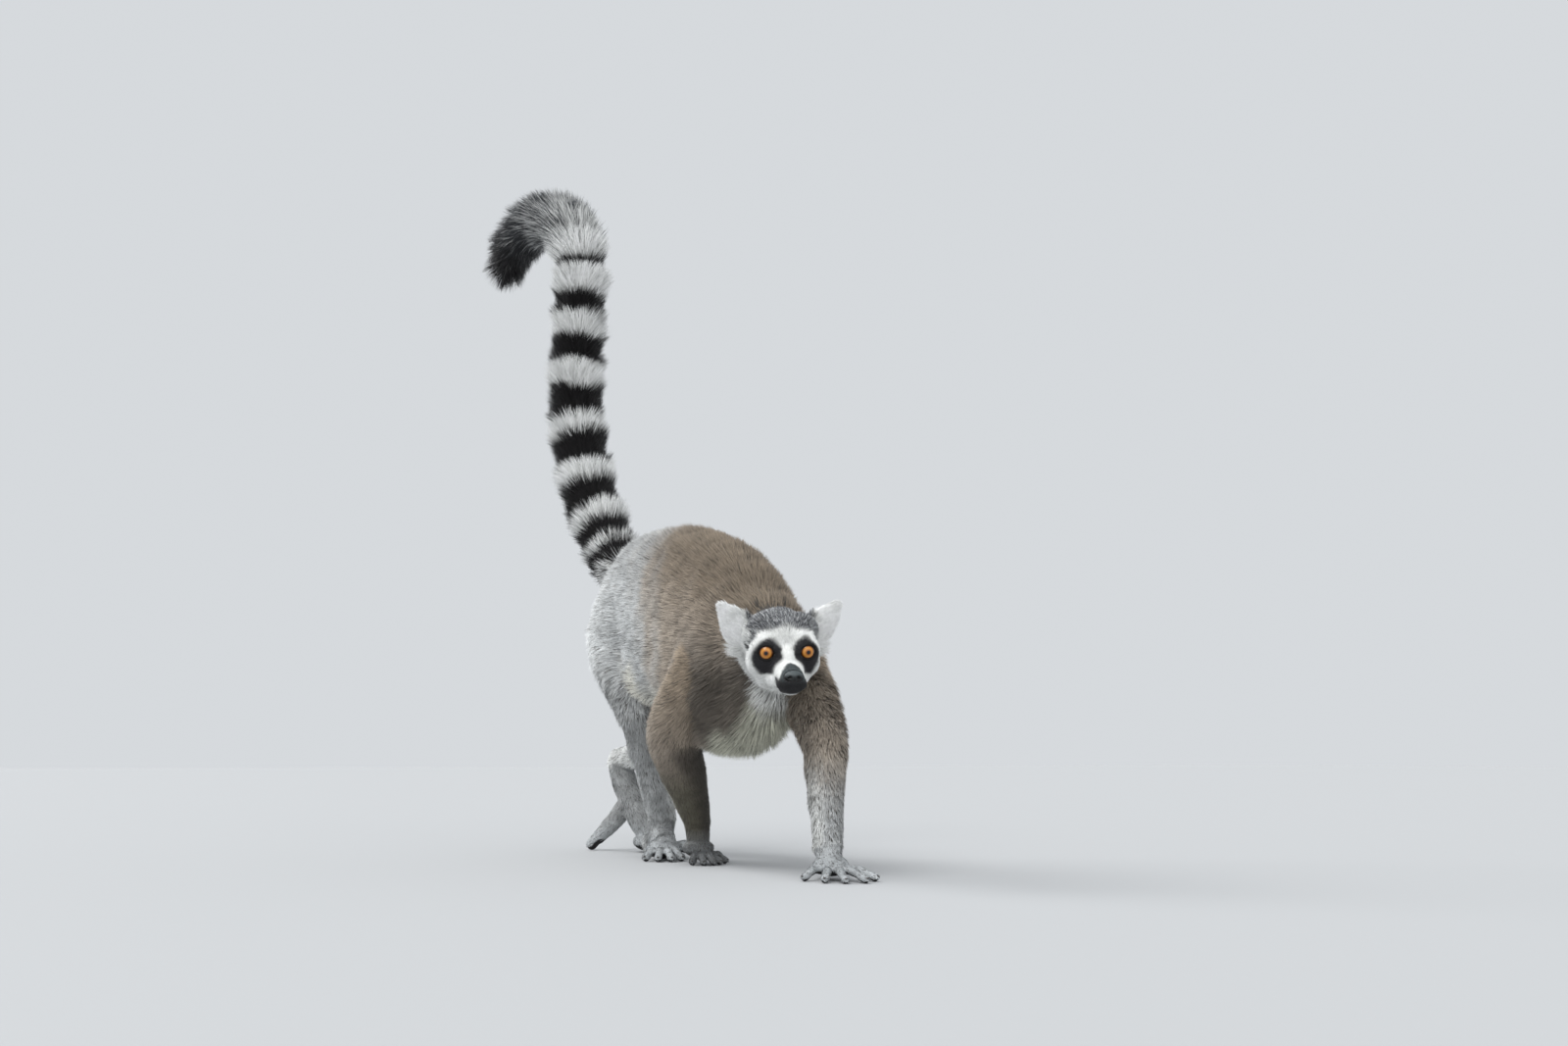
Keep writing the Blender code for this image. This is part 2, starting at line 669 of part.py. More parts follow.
def eye_and_socket(side, word, whole, helpers):
    """A ball let into the head, in a socket of its own shape that is open to the front."""
    centre = in_head(EYE, side)
    turn = head_frame().to_3x3()
    room = EYE_RADIUS + GAP
    socket = ball("socket_" + word, centre, (room,) * 3, helpers, turn, segments=16)
    boolean(whole, socket, "DIFFERENCE")
    outward = turn @ Vector((side * EYE_SPLAY[0], *EYE_SPLAY[1:])).normalized()
    back, front, depth = EYE_OPENING
    opening_mesh = bpy.data.meshes.new("opening")
    shape = bmesh.new()
    bmesh.ops.create_cone(
        shape, cap_ends=True, segments=14, radius1=back, radius2=front, depth=depth)
    aim = outward.to_track_quat("Z", "Y").to_matrix().to_4x4()
    place = Matrix.Translation(centre + outward * (EYE_OPENING_START + depth / 2))
    bmesh.ops.transform(shape, matrix=place @ aim, verts=shape.verts)
    shape.to_mesh(opening_mesh)
    shape.free()
    boolean(whole, helper_object("opening_" + word, opening_mesh, helpers), "DIFFERENCE")
    return ball("eye_" + word, centre, (EYE_RADIUS,) * 3, helpers, turn, segments=16)


def finish(obj, name, look, parts):
    """Turns a helper into the part of this name."""
    obj.users_collection[0].objects.unlink(obj)
    parts.objects.link(obj)
    obj.name = name
    obj.hide_render = False
    obj.display_type = "TEXTURED"
    obj.data.materials.clear()
    obj.data.materials.append(look)
    obj.data.shade_smooth()


def nose_and_seat(whole, helpers):
    turn = head_frame().to_3x3()
    room = tuple(size + GAP for size in NOSE_SIZE)
    seat = ball("nose_seat", in_head(NOSE), room, helpers, turn, segments=12)
    boolean(whole, seat, "DIFFERENCE")
    return ball("nose", in_head(NOSE), NOSE_SIZE, helpers, turn, segments=12)


def colour_of(name):
    if name.startswith("tail_"):
        return "tail_white" if int(name[-1]) % 2 else "tail_black"
    for first, colour in PART_COLOURS.items():
        if name.startswith(first):
            return colour
    return "grey"


def centre_on_floor(objects):
    """Moves the whole so that its box's middle is over the origin and its soles are at z = 0."""
    corners = np.array([vert.co for obj in objects for vert in obj.data.vertices])
    low, high = corners.min(0), corners.max(0)
    shift = Matrix.Translation((-(low[0] + high[0]) / 2, -(low[1] + high[1]) / 2, -low[2]))
    for obj in objects:
        obj.data.transform(shift)


def whole_animal(helpers):
    body = joined("body", [
        barrel(helpers),
        neck(helpers),
        *flesh_pieces(helpers),
        limb("arm_right", SHOULDER_R, ELBOW_R, WRIST_R, ARM_R_RADII, helpers),
        limb("arm_left", SHOULDER_L, ELBOW_L, WRIST_L, ARM_L_RADII, helpers),
        limb("leg_right", HIP_R, KNEE_R, ANKLE_R, LEG_RADII, helpers),
        limb("leg_left", HIP_L, KNEE_L, ANKLE_L, LEG_RADII, helpers),
    ], helpers)
    fused(body, BODY_VOXEL, 6)
    centres, radii, _ = tail_course()
    whole = joined("whole", [
        body,
        tube("tail", centres, radii, helpers),
        *hand("hand_right", WRIST_R, PALM_R, FINGERS_R, -1, helpers),
        *hand("hand_left", WRIST_L, PALM_L, FINGERS_L, 1, helpers),
        *foot_right(helpers),
        *foot_left(helpers),
        *head_pieces(helpers),
    ], helpers)
    fused(whole, FINE_VOXEL, 2)
    return thinned(whole, TRIANGLES)


def main():
    clear_scene()
    parts = new_collection(NAME)
    helpers = new_collection(NAME + "_helpers", helper=True)
    whole = whole_animal(helpers)
    named = {"nose": nose_and_seat(whole, helpers)}
    for side, word in ((1, "left"), (-1, "right")):
        named["ear_" + word] = ear_and_seat(side, word, whole, helpers)
        named["eye_" + word] = eye_and_socket(side, word, whole, helpers)
    named.update(parted(whole, helpers))
    for name in ("hand_left", "hand_right", "foot_left", "foot_right"):
        pressed_flat(named[name])
    centre_on_floor(list(named.values()))
    for name, obj in named.items():
        colour = colour_of(name)
        roughness = EYE_ROUGHNESS if colour == "amber" else COAT_ROUGHNESS
        finish(obj, name, material(colour, roughness), parts)


main()
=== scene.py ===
"""A ring-tailed lemur as a still museum model: one bare skin under a coat of fine mesh tufts."""
import math

import bmesh
import bpy
import numpy as np
from mathutils import Euler, Matrix, Vector
from mathutils.kdtree import KDTree


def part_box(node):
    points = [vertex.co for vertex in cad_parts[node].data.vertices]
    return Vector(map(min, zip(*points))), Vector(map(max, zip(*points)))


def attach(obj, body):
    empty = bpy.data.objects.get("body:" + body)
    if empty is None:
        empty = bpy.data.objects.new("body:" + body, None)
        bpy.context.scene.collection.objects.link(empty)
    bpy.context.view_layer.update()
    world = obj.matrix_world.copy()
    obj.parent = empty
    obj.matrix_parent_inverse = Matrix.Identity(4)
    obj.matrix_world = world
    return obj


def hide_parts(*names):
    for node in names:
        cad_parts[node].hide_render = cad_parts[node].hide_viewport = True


MM = 0.001
RNG = np.random.default_rng(11)

# ---- the animal's own measures, in metres, before it is set on its place in the frame ----

TRUNK = [  # place along the body, height of the coat on the back and under the belly
    (-0.176, 0.186, 0.134),
    (-0.140, 0.236, 0.098),
    (-0.095, 0.266, 0.091),
    (-0.045, 0.289, 0.106),
    (0.005, 0.302, 0.126),
    (0.055, 0.308, 0.144),
    (0.105, 0.305, 0.158),
    (0.150, 0.292, 0.185),
    (0.182, 0.272, 0.228),
]
TRUNK_BREADTH = 0.558  # of its height
FLESH = {  # centre, half sizes and roll in degrees, on both sides
    "shoulder": ((0.029, -0.112, 0.180), (0.027, 0.044, 0.054), 8),
    "haunch": ((0.025, 0.098, 0.203), (0.031, 0.056, 0.062), 0),
    "flank": ((0.026, 0.030, 0.172), (0.022, 0.046, 0.040), 0),
}
NECK = [((0, -0.110, 0.202), 0.046), ((-0.003, -0.172, 0.182), 0.040)]
# each limb: its joints, and from top to end the radii of its outline and the depth of its coat
ARM_R = [(-0.036, -0.112, 0.166), (-0.037, -0.053, 0.109), (0.009, 0.002, 0.036)]
ARM_L = [(0.033, -0.143, 0.168), (0.032, -0.190, 0.106), (0.032, -0.196, 0.024)]
LEG_R = [(-0.024, 0.104, 0.205), (-0.026, 0.048, 0.134), (0.010, 0.086, 0.036)]
LEG_L = [(0.024, 0.104, 0.205), (0.046, 0.088, 0.122), (0.018, 0.196, 0.090)]
ARM_R_RADII = (0.028, 0.029, 0.0260, 0.0210, 0.0140)
ARM_L_RADII = (0.027, 0.026, 0.0220, 0.0175, 0.0135)
LEG_RADII = (0.036, 0.036, 0.0270, 0.0200, 0.0150)
ARM_COAT = (0.010, 0.009, 0.0065, 0.0050, 0.0034)
LEG_COAT = (0.012, 0.011, 0.0080, 0.0055, 0.0036)
HAND_R, HAND_L = (0.010, 0.002, 0.0130), (0.028, -0.208, 0.0105)
BALL_R, BALL_L = (0.000, 0.056, 0.0115), (0.030, 0.169, 0.016)
LIMBS = {
    "arm_r": (ARM_R, ARM_R_RADII, ARM_COAT, HAND_R), "arm_l": (ARM_L, ARM_L_RADII, ARM_COAT, HAND_L),
    "leg_r": (LEG_R, LEG_RADII, LEG_COAT, BALL_R), "leg_l": (LEG_L, LEG_RADII, LEG_COAT, BALL_L),
}
TAIL = [  # its bare course and radius
    ((0.000, 0.158, 0.258), 0.0150),
    ((-0.009, 0.188, 0.302), 0.0125),
    ((-0.022, 0.222, 0.372), 0.0115),
    ((-0.029, 0.240, 0.455), 0.0110),
    ((-0.029, 0.240, 0.545), 0.0105),
    ((-0.028, 0.239, 0.608), 0.0100),
    ((-0.035, 0.259, 0.652), 0.0095),
    ((-0.051, 0.300, 0.674), 0.0085),
    ((-0.066, 0.337, 0.662), 0.0070),
    ((-0.074, 0.352, 0.634), 0.0050),
]
BLACK_RINGS = [  # share of the tail's length where a dark ring shows, and its half width
    (0.083, 0.013), (0.131, 0.024), (0.212, 0.033), (0.317, 0.032), (0.420, 0.030),
    (0.523, 0.026), (0.613, 0.023), (0.695, 0.012),
]
RING_LIFT = 0.030  # hairs show this much further along the tail than they are rooted

# the head's place, and measures in its own axes, where the left is towards +X
HEAD = (-0.0070, -0.1915, 0.1750)
HEAD_NOD, HEAD_TILT, HEAD_TURN = 13.0, -2.0, -16.4
EYE = (0.0152, -0.0234, 0.0026)
EYE_RADIUS = 8.2 * MM
EYE_OPENING, EYE_OPENING_FORWARD = (6.1 * MM, 5.4 * MM, 6.5 * MM), 7.5 * MM
EYE_SPLAY = 12.0
SKULL = {  # centre and half sizes of the fleshy masses, mirrored where they are off the middle
    "braincase": ((0, 0.004, 0.006), (0.0275, 0.0310, 0.0240)),
    "crown": ((0.0125, -0.004, 0.0130), (0.0155, 0.0200, 0.0150)),
    "orbit": ((0.0143, -0.0192, 0.0026), (0.0127, 0.0128, 0.0127)),
    "jaw": ((0, -0.0250, -0.0170), (0.0150, 0.0180, 0.0092)),
    "cheek": ((0.0140, -0.012, -0.005), (0.0135, 0.0165, 0.0135)),
    "brow": ((0.0127, -0.0192, 0.0104), (0.0110, 0.0090, 0.0066)),
    "forehead": ((0, -0.0140, 0.0100), (0.0150, 0.0120, 0.0120)),
    "throat": ((0, -0.010, -0.016), (0.0190, 0.0220, 0.0110)),
    "bridge": ((0, -0.0270, -0.0020), (0.0068, 0.0120, 0.0080)),
    "snout_root": ((0, -0.0270, -0.0105), (0.0140, 0.0165, 0.0105)),
    "snout": ((0, -0.0390, -0.0125), (0.0112, 0.0150, 0.0095)),
    "snout_tip": ((0, -0.0490, -0.0142), (0.0094, 0.0088, 0.0082)),
    "lip": ((0.0050, -0.0465, -0.0178), (0.0066, 0.0092, 0.0060)),
    "chin": ((0, -0.0400, -0.0228), (0.0088, 0.0120, 0.0048)),
}
NOSE = (0, -0.0542, -0.0116)
NOSE_SIZE = (0.0070, 0.0044, 0.0046)
EAR_ROOT, EAR_TIP = (0.0235, 0.006, 0.008), (0.0430, 0.002, 0.0318)
EAR_RADII = (0.0140, 0.0136, 0.0116, 0.0088, 0.0046)
EAR_THICKNESS, EAR_FACING = 0.30, math.radians(14)
EAR_CUP, EAR_CUP_FORWARD = (0.0098, 0.0044, 0.0140), 0.0050

# length from the hub, and angle in degrees from the heading of the hand or foot
FINGERS_R = [(0.027, -45), (0.034, -18), (0.038, -5), (0.039, 9), (0.034, 24)]
FINGERS_L = [(0.030, -62), (0.040, -27), (0.046, -7), (0.048, 12), (0.041, 34)]
TOES_R = [(0.036, 14), (0.040, -3), (0.039, -20), (0.034, -40)]
TOES_L = [(0.036, -22), (0.040, -5), (0.039, 12), (0.034, 32)]
HAND_HEADING, FOOT_R_HEADING, FOOT_L_HEADING = -8, -8, 4
PALM = (0.0130, 0.0165, 0.0083)
FINGER_RADIUS, TOE_RADIUS, GREAT_TOE_R, GREAT_TOE_L = 0.0032, 0.0036, 0.0055, 0.0058
DIGIT_REACH = 0.012  # from the hub to the roots of the digits
KNUCKLES = [  # share of a digit's length, then lift and thickness by its radius
    (0.30, 0.55, 0.92), (0.50, 0.75, 1.06), (0.72, 0.40, 0.88), (0.86, 0.15, 0.98),
]


def head_frame():
    """Takes the head's own axes, where the face is towards -Y, to the animal's."""
    turn = Euler((math.radians(HEAD_NOD), math.radians(HEAD_TILT), 0)).to_matrix().to_4x4()
    return Matrix.Translation(HEAD) @ Matrix.Rotation(math.radians(HEAD_TURN), 4, "Z") @ turn


def in_head(point, side=1):
    return head_frame() @ Vector((side * point[0], *point[1:]))


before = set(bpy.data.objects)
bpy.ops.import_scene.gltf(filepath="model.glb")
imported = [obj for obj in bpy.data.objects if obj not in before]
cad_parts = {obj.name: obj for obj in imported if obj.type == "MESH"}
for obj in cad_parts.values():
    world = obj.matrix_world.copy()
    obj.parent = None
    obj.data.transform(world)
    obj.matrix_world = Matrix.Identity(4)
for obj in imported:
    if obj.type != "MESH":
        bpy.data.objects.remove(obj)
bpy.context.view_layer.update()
PLACE = sum(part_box("eye_left"), Vector()) / 2 - in_head(EYE)

# how far the bare body lies inside the CAD's outline, and how finely it is made
TRUNK_COAT, FLESH_COAT, NECK_COAT = 0.0125, (0.010, 0.010, 0.011), 0.013
CORE_VOXEL, SKIN_VOXEL = 3.5 * MM, 1.15 * MM
SKIN_TRIANGLES = 150_000

# ---- shapes ----


def mesh_object(name, mesh):
    obj = bpy.data.objects.new(name, mesh)
    bpy.context.scene.collection.objects.link(obj)
    return obj


def settled(shape, name):
    """The object that an edit mesh describes."""
    mesh = bpy.data.meshes.new(name)
    shape.to_mesh(mesh)
    shape.free()
    return mesh_object(name, mesh)


def ball(centre, half_sizes, turn=None, segments=32, rings=None, name="ball"):
    shape = bmesh.new()
    rings = rings or segments // 2
    bmesh.ops.create_uvsphere(shape, u_segments=segments, v_segments=rings, radius=1)
    turned = (turn or Matrix()).to_4x4()
    place = Matrix.Translation(centre) @ turned @ Matrix.Diagonal((*half_sizes, 1))
    bmesh.ops.transform(shape, matrix=place, verts=shape.verts)
    return settled(shape, name)


def smooth_path(points, steps):
    """Catmull-Rom through rows of any width."""
    rows = np.array(points, float)
    rows = np.vstack([2 * rows[0] - rows[1], rows, 2 * rows[-1] - rows[-2]])
    spans = len(rows) - 3
    path = []
    for place in np.linspace(0, spans, steps):
        i = min(int(place), spans - 1)
        t = place - i
        a, b, c, d = rows[i : i + 4]
        path.append(0.5 * (2 * b + (c - a) * t + (2 * a - 5 * b + 4 * c - d) * t**2
                           + (3 * b - a - 3 * c + d) * t**3))
    return np.array(path)


def evaluated(obj):
    """The mesh that the object shows."""
    bpy.context.view_layer.update()
    graph = bpy.context.evaluated_depsgraph_get()
    return bpy.data.meshes.new_from_object(obj.evaluated_get(graph))


def tube(rows, steps, sides=6):
    """A tapering round bar through (x, y, z, radius) rows, with a ball on each end."""
    rows = smooth_path(rows, steps)
    curve = bpy.data.curves.new("bar", "CURVE")
    curve.dimensions = "3D"
    curve.bevel_depth = 1.0
    curve.bevel_resolution = sides
    curve.use_fill_caps = True
    spline = curve.splines.new("POLY")
    spline.points.add(len(rows) - 1)
    for point, row in zip(spline.points, rows):
        point.co = (*row[:3], 1)
        point.radius = row[3]
    source = mesh_object("bar_course", curve)
    mesh = evaluated(source)
    bpy.data.objects.remove(source, do_unlink=True)
    ends = [ball(rows[i][:3], (rows[i][3],) * 3, segments=20) for i in (0, -1)]
    return joined([mesh_object("bar", mesh), *ends])


def joined(objects, name="shape"):
    shape = bmesh.new()
    for obj in objects:
        shape.from_mesh(obj.data)
        bpy.data.objects.remove(obj, do_unlink=True)
    bmesh.ops.remove_doubles(shape, verts=shape.verts, dist=1e-7)
    return settled(shape, name)


def applied(obj):
    """The object with its modifiers in its mesh."""
    mesh = evaluated(obj)
    obj.modifiers.clear()
    obj.data = mesh
    return obj


def fused(obj, voxel, passes):
    """One closed surface round everything in the object, eased a little."""
    remesh = obj.modifiers.new("Remesh", "REMESH")
    remesh.mode = "VOXEL"
    remesh.voxel_size = voxel
    ease = obj.modifiers.new("Smooth", "SMOOTH")
    ease.iterations = passes
    ease.factor = 0.5
    return applied(obj)


def carved(obj, cutter):
    cut = obj.modifiers.new("Boolean", "BOOLEAN")
    cut.operation = "DIFFERENCE"
    cut.object = cutter
    cut.solver = "EXACT"
    applied(obj)
    bpy.data.objects.remove(cutter, do_unlink=True)


def turned_to(direction):
    """Axes whose own Z points this way."""
    return Vector(direction).to_track_quat("Z", "Y").to_matrix().to_4x4()


def halfway(start, end):
    return Vector(start).lerp(Vector(end), 0.5)


def limb(joints, radii, coat):
    """The bare limb: its outline less the depth of its coat."""
    a, b, c = joints
    places = (a, halfway(a, b), b, halfway(b, c), c)
    bare = np.array(radii) - np.array(coat)
    return tube([(*place, radius) for place, radius in zip(places, bare)], 17)


# ---- the bare body ----


def barrel():
    rows = [(y, (top + belly) / 2, (top - belly) / 2 - TRUNK_COAT) for y, top, belly in TRUNK]
    rows = smooth_path(rows, 33)
    made = tube([(0, y, z, radius) for y, z, radius in rows], 33, sides=10)
    made.data.transform(Matrix.Diagonal((TRUNK_BREADTH, 1, 1, 1)))
    return made


DIGITS = []  # root, tip, way and radius of each


def digit(root, tip, way, radius):
    """A slightly arched finger or toe, noted for the coat and for its nail."""
    DIGITS.append((root, tip, way, radius))
    up = Vector((0, 0, 1))
    rows = [(*root, 1.05 * radius)]
    for share, lift, thickness in KNUCKLES:
        rows.append((*(root.lerp(tip, share) + up * lift * radius), thickness * radius))
    return tube([*rows, (*tip, 0.98 * radius)], 13, sides=4)


def great_toe(root, tip, radius):
    root, tip = Vector(root), Vector(tip)
    return digit(root, tip, (tip - root).normalized(), radius)


def spread_digits(x, y, heading, layout, radius, root_height):
    hub = Vector((x, y, 0))
    pieces = []
    for length, angle in layout:
        aim = math.radians(heading + angle)
        way = Vector((math.sin(aim), -math.cos(aim), 0))
        root = hub + way * DIGIT_REACH
        root.z = root_height
        tip = hub + way * (length - 0.4 * MM)
        tip.z = radius - 0.1 * MM
        pieces.append(digit(root, tip, way, radius))
    return pieces


def hand(wrist, hub, side, fingers):
    layout = [(length, side * angle) for length, angle in fingers]
    turn = Matrix.Rotation(math.radians(HAND_HEADING), 3, "Z")
    rows = [(*wrist, 0.0103), (*halfway(wrist, hub), 0.0098), (*hub, 0.0085)]
    return [
        ball(hub, PALM, turn, 24),
        tube(rows, 7),
        *spread_digits(*hub[:2], HAND_HEADING, layout, FINGER_RADIUS, 0.0075),
    ]


def foot_right():
    sole = [(*LEG_R[2], 0.0112), (0.009, 0.086, 0.022, 0.0120), (0.006, 0.072, 0.0145, 0.0112),
            (*BALL_R[:2], 0.0105, 0.0095)]
    heel_cord = [(0.010, 0.089, 0.036, 0.0100), (0.011, 0.098, 0.016, 0.0102)]
    toe = great_toe((0.010, 0.068, 0.0090), (0.030, 0.040, 0.0052), GREAT_TOE_R)
    return [
        tube(sole, 9),
        ball((0.011, 0.102, 0.0118), (0.0108, 0.0138, 0.0114)),
        tube(heel_cord, 5),
        ball((*BALL_R[:2], 0.0098), (0.0165, 0.0155, 0.0090)),
        *spread_digits(0.000, 0.060, FOOT_R_HEADING, TOES_R, TOE_RADIUS, 0.0085),
        toe,
    ]


def foot_left():
    """Up on its toes, with the great toe held back to the floor."""
    sole = [(*LEG_L[2], 0.0112), (0.013, 0.203, 0.086, 0.0118), (0.018, 0.195, 0.060, 0.0118),
            (0.025, 0.181, 0.034, 0.0118), (*BALL_L, 0.0105)]
    toe_base = [(0.019, 0.190, 0.050, 0.0102), (0.008, 0.202, 0.030, 0.0080),
                (-0.004, 0.216, 0.012, 0.0060)]
    toe = great_toe((0.017, 0.191, 0.040), (-0.009, 0.222, 0.0058), GREAT_TOE_L)
    return [
        tube(sole, 13),
        ball((0.030, 0.166, 0.0102), (0.0160, 0.0135, 0.0092)),
        *spread_digits(0.030, 0.170, FOOT_L_HEADING, TOES_L, TOE_RADIUS, 0.0090),
        toe,
        tube(toe_base, 9),
    ]


def ear(side):
    """A thin, cupped leaf."""
    root, tip = Vector(EAR_ROOT), Vector(EAR_TIP)
    shares = np.linspace(0, 1, len(EAR_RADII))
    rows = [(*root.lerp(tip, share), radius) for share, radius in zip(shares, EAR_RADII)]
    solid = tube(rows, 15, sides=10)
    up = (tip - root).normalized()
    facing = Vector((math.sin(EAR_FACING), -math.cos(EAR_FACING), 0))
    facing = (facing - facing.dot(up) * up).normalized()
    axes = Matrix((up.cross(facing), facing, up)).transposed().to_4x4()
    middle = Matrix.Translation(root.lerp(tip, 0.5))
    flat = Matrix.Diagonal((1, EAR_THICKNESS, 1, 1))
    solid.data.transform(middle @ axes @ flat @ axes.inverted() @ middle.inverted())
    fused(solid, 0.9 * MM, 2)
    carved(solid, ball(root.lerp(tip, 0.5) + facing * EAR_CUP_FORWARD, EAR_CUP, axes.to_3x3()))
    if side < 0:
        solid.data.transform(Matrix.Diagonal((-1, 1, 1, 1)))
        solid.data.flip_normals()
    return solid


def gaze(side, splay):
    """The way an eye looks, in the head's own axes."""
    angle = math.radians(splay)
    return Vector((side * math.sin(angle), -math.cos(angle), 0.02))


def head():
    masses = []
    for (x, y, z), sizes in SKULL.values():
        masses += [ball((side * x, y, z), sizes) for side in ((1, -1) if x else (1,))]
    solid = joined(masses)
    fused(solid, 1.0 * MM, 4)
    for side in (1, -1):
        centre = Vector((side * EYE[0], *EYE[1:]))
        carved(solid, ball(centre, (EYE_RADIUS + 0.25 * MM,) * 3))
        way = gaze(side, EYE_SPLAY)
        carved(solid, ball(centre + way * EYE_OPENING_FORWARD, EYE_OPENING, turned_to(way).to_3x3()))
    seat = Vector(NOSE) + Vector((0, 0.8 * MM, 0))
    carved(solid, ball(seat, np.array(NOSE_SIZE) - 0.2 * MM))
    solid = joined([solid, ear(1), ear(-1)])
    solid.data.transform(head_frame())
    return solid


def bare_body():
    """The whole skin, from the nose to the tip of the tail, as one closed surface."""
    core = [barrel()]
    for (x, y, z), sizes, roll in FLESH.values():
        bare = np.array(sizes) - FLESH_COAT
        for side in (1, -1):
            turn = Matrix.Rotation(math.radians(-side * roll), 3, "Y")
            core.append(ball((side * x, y, z), bare, turn))
    core.append(tube([(*centre, radius - NECK_COAT) for centre, radius in NECK], 9))
    core += [limb(*entry[:3]) for entry in LIMBS.values()]
    core = fused(joined(core), CORE_VOXEL, 6)
    pieces = [core, tube([(*centre, radius) for centre, radius in TAIL], 80), head()]
    pieces += hand(ARM_R[2], HAND_R, -1, FINGERS_R) + hand(ARM_L[2], HAND_L, 1, FINGERS_L)
    pieces += foot_right() + foot_left()
    skin = fused(joined(pieces), SKIN_VOXEL, 1)
    thin = skin.modifiers.new("Decimate", "DECIMATE")
    skin.data.calc_loop_triangles()
    thin.ratio = min(1.0, SKIN_TRIANGLES / len(skin.data.loop_triangles))
    applied(skin)
    skin.name = "skin"
    return largest_shell(skin)


def largest_shell(obj):
    """Drops the crumbs that the merging leaves."""
    shape = bmesh.new()
    shape.from_mesh(obj.data)
    left, shells = set(shape.verts), []
    while left:
        shell, rim = set(), {left.pop()}
        while rim:
            shell |= rim
            rim = {vert for old in rim for edge in old.link_edges for vert in edge.verts} - shell
        left -= shell
        shells.append(shell)
    crumbs = [vert for shell in sorted(shells, key=len)[:-1] for vert in shell]
    bmesh.ops.delete(shape, geom=crumbs, context="VERTS")
    shape.to_mesh(obj.data)
    shape.free()
    return obj


# ---- small tools ----


def unit(vectors):
    return vectors / np.maximum(np.linalg.norm(vectors, axis=-1, keepdims=True), 1e-9)


def step(low, high, value):
    t = np.clip((value - low) / (high - low), 0, 1)
    return t * t * (3 - 2 * t)


def mix(first, second, share):
    return np.asarray(first) + (np.asarray(second) - np.asarray(first)) * np.asarray(share)[..., None]


def ripple(points, size, seed):
    """A smooth, patternless value from about -1 to 1 that changes over this distance."""
    rng = np.random.default_rng(seed)
    total = np.zeros(len(points))
    for _ in range(6):
        way = unit(rng.normal(size=3)) * rng.uniform(0.6, 1.5) * math.pi / size
        total += np.sin(points @ way + rng.uniform(0, 7))
    return total / 2.6


def rows_of(items, key, kind=np.float32):
    values = np.empty((len(items), 3), kind)
    items.foreach_get(key, values.ravel())
    return values


def arrays(mesh):
    """Points, normals and triangles."""
    mesh.calc_loop_triangles()
    points, normals = (rows_of(mesh.vertices, key).astype(float) for key in ("co", "normal"))
    return points, normals, rows_of(mesh.loop_triangles, "vertices", np.int32)


def painted(mesh, colours):
    """Keeps a colour at each point of the mesh, or the same one at all of them."""
    rows = np.ones((len(mesh.vertices), 4), np.float32)
    rows[:, :3] = colours
    mesh.color_attributes.new("tone", "FLOAT_COLOR", "POINT").data.foreach_set("color", rows.ravel())


def moulded(mesh, points):
    """Moves the mesh's points to these places."""
    mesh.vertices.foreach_set("co", points.astype(np.float32).ravel())


def rounded(mesh):
    """Shades the mesh as one smooth surface."""
    mesh.polygons.foreach_set("use_smooth", np.ones(len(mesh.polygons), bool))


# ---- what lies where: bones for the lie, length and colour of the coat ----

TAIL_COURSE = smooth_path([centre for centre, _ in TAIL], 240)
TAIL_STEPS = np.linalg.norm(np.diff(TAIL_COURSE, axis=0), axis=1)
TAIL_SHARE = np.concatenate([[0], np.cumsum(TAIL_STEPS)])
TAIL_SHARE /= TAIL_SHARE[-1]
HEAD_TURNED = np.array(head_frame().to_3x3())
PARTS = ("upper", "lower", "end")
REGIONS = ["trunk", "neck", "tail", "head", "ear"]
REGIONS += [f"{limb_name}_{part}" for limb_name in LIMBS for part in PARTS]
CODE = {name: i for i, name in enumerate(REGIONS)}


def parted(region):
    """Which places lie in each region."""
    return {name: region == i for name, i in CODE.items()}


def limb_of(point):
    """The limb whose hand or foot is nearest."""
    ends = {name: Vector(entry[-1]) for name, entry in LIMBS.items()}
    return min(ends, key=lambda name: (ends[name] - point).length)


def bones():
    """(region, start, end, start radius, end radius) of each length."""
    made = []
    for (y0, t0, b0), (y1, t1, b1) in zip(TRUNK[1:], TRUNK[2:]):
        start, end = (0, y0, (t0 + b0) / 2), (0, y1, (t1 + b1) / 2)
        made.append(("trunk", start, end, (t0 - b0) * 0.42, (t1 - b1) * 0.42))
    made.append(("neck", NECK[1][0], (0, -0.120, 0.190), 0.036, 0.042))
    for name, (joints, radii, _, end) in LIMBS.items():
        made.append((name + "_upper", joints[0], joints[1], radii[0] * 0.9, radii[2]))
        made.append((name + "_lower", joints[1], joints[2], radii[2], radii[4]))
        made.append((name + "_end", joints[2], end, radii[4], 0.012))
    for root, tip, _, radius in DIGITS:
        made.append((limb_of(root) + "_end", root, tip, radius * 1.3, radius * 1.3))
    course = TAIL_COURSE[12::9]
    for low, high in zip(course, course[1:]):
        made.append(("tail", low, high, 0.014, 0.014))
    return made


def head_axes(points):
    return (points - np.array(HEAD)) @ HEAD_TURNED


def folded(q):
    """Places of the head with its right side laid over its left."""
    return np.column_stack([np.abs(q[:, 0]), q[:, 1:]])


def eye_reach(q):
    """How far each place is from the nearer eyeball's middle."""
    return np.linalg.norm(folded(q) - EYE, axis=1)


def oval(q, centre, sizes):
    """Below 1 inside the oval."""
    return np.linalg.norm((q - centre) / sizes, axis=1)


def ear_place(q):
    """Below 1 in the part of the head that belongs to the ears."""
    return oval(folded(q), (0.0365, 0.004, 0.0205), (0.0165, 0.0125, 0.0210))


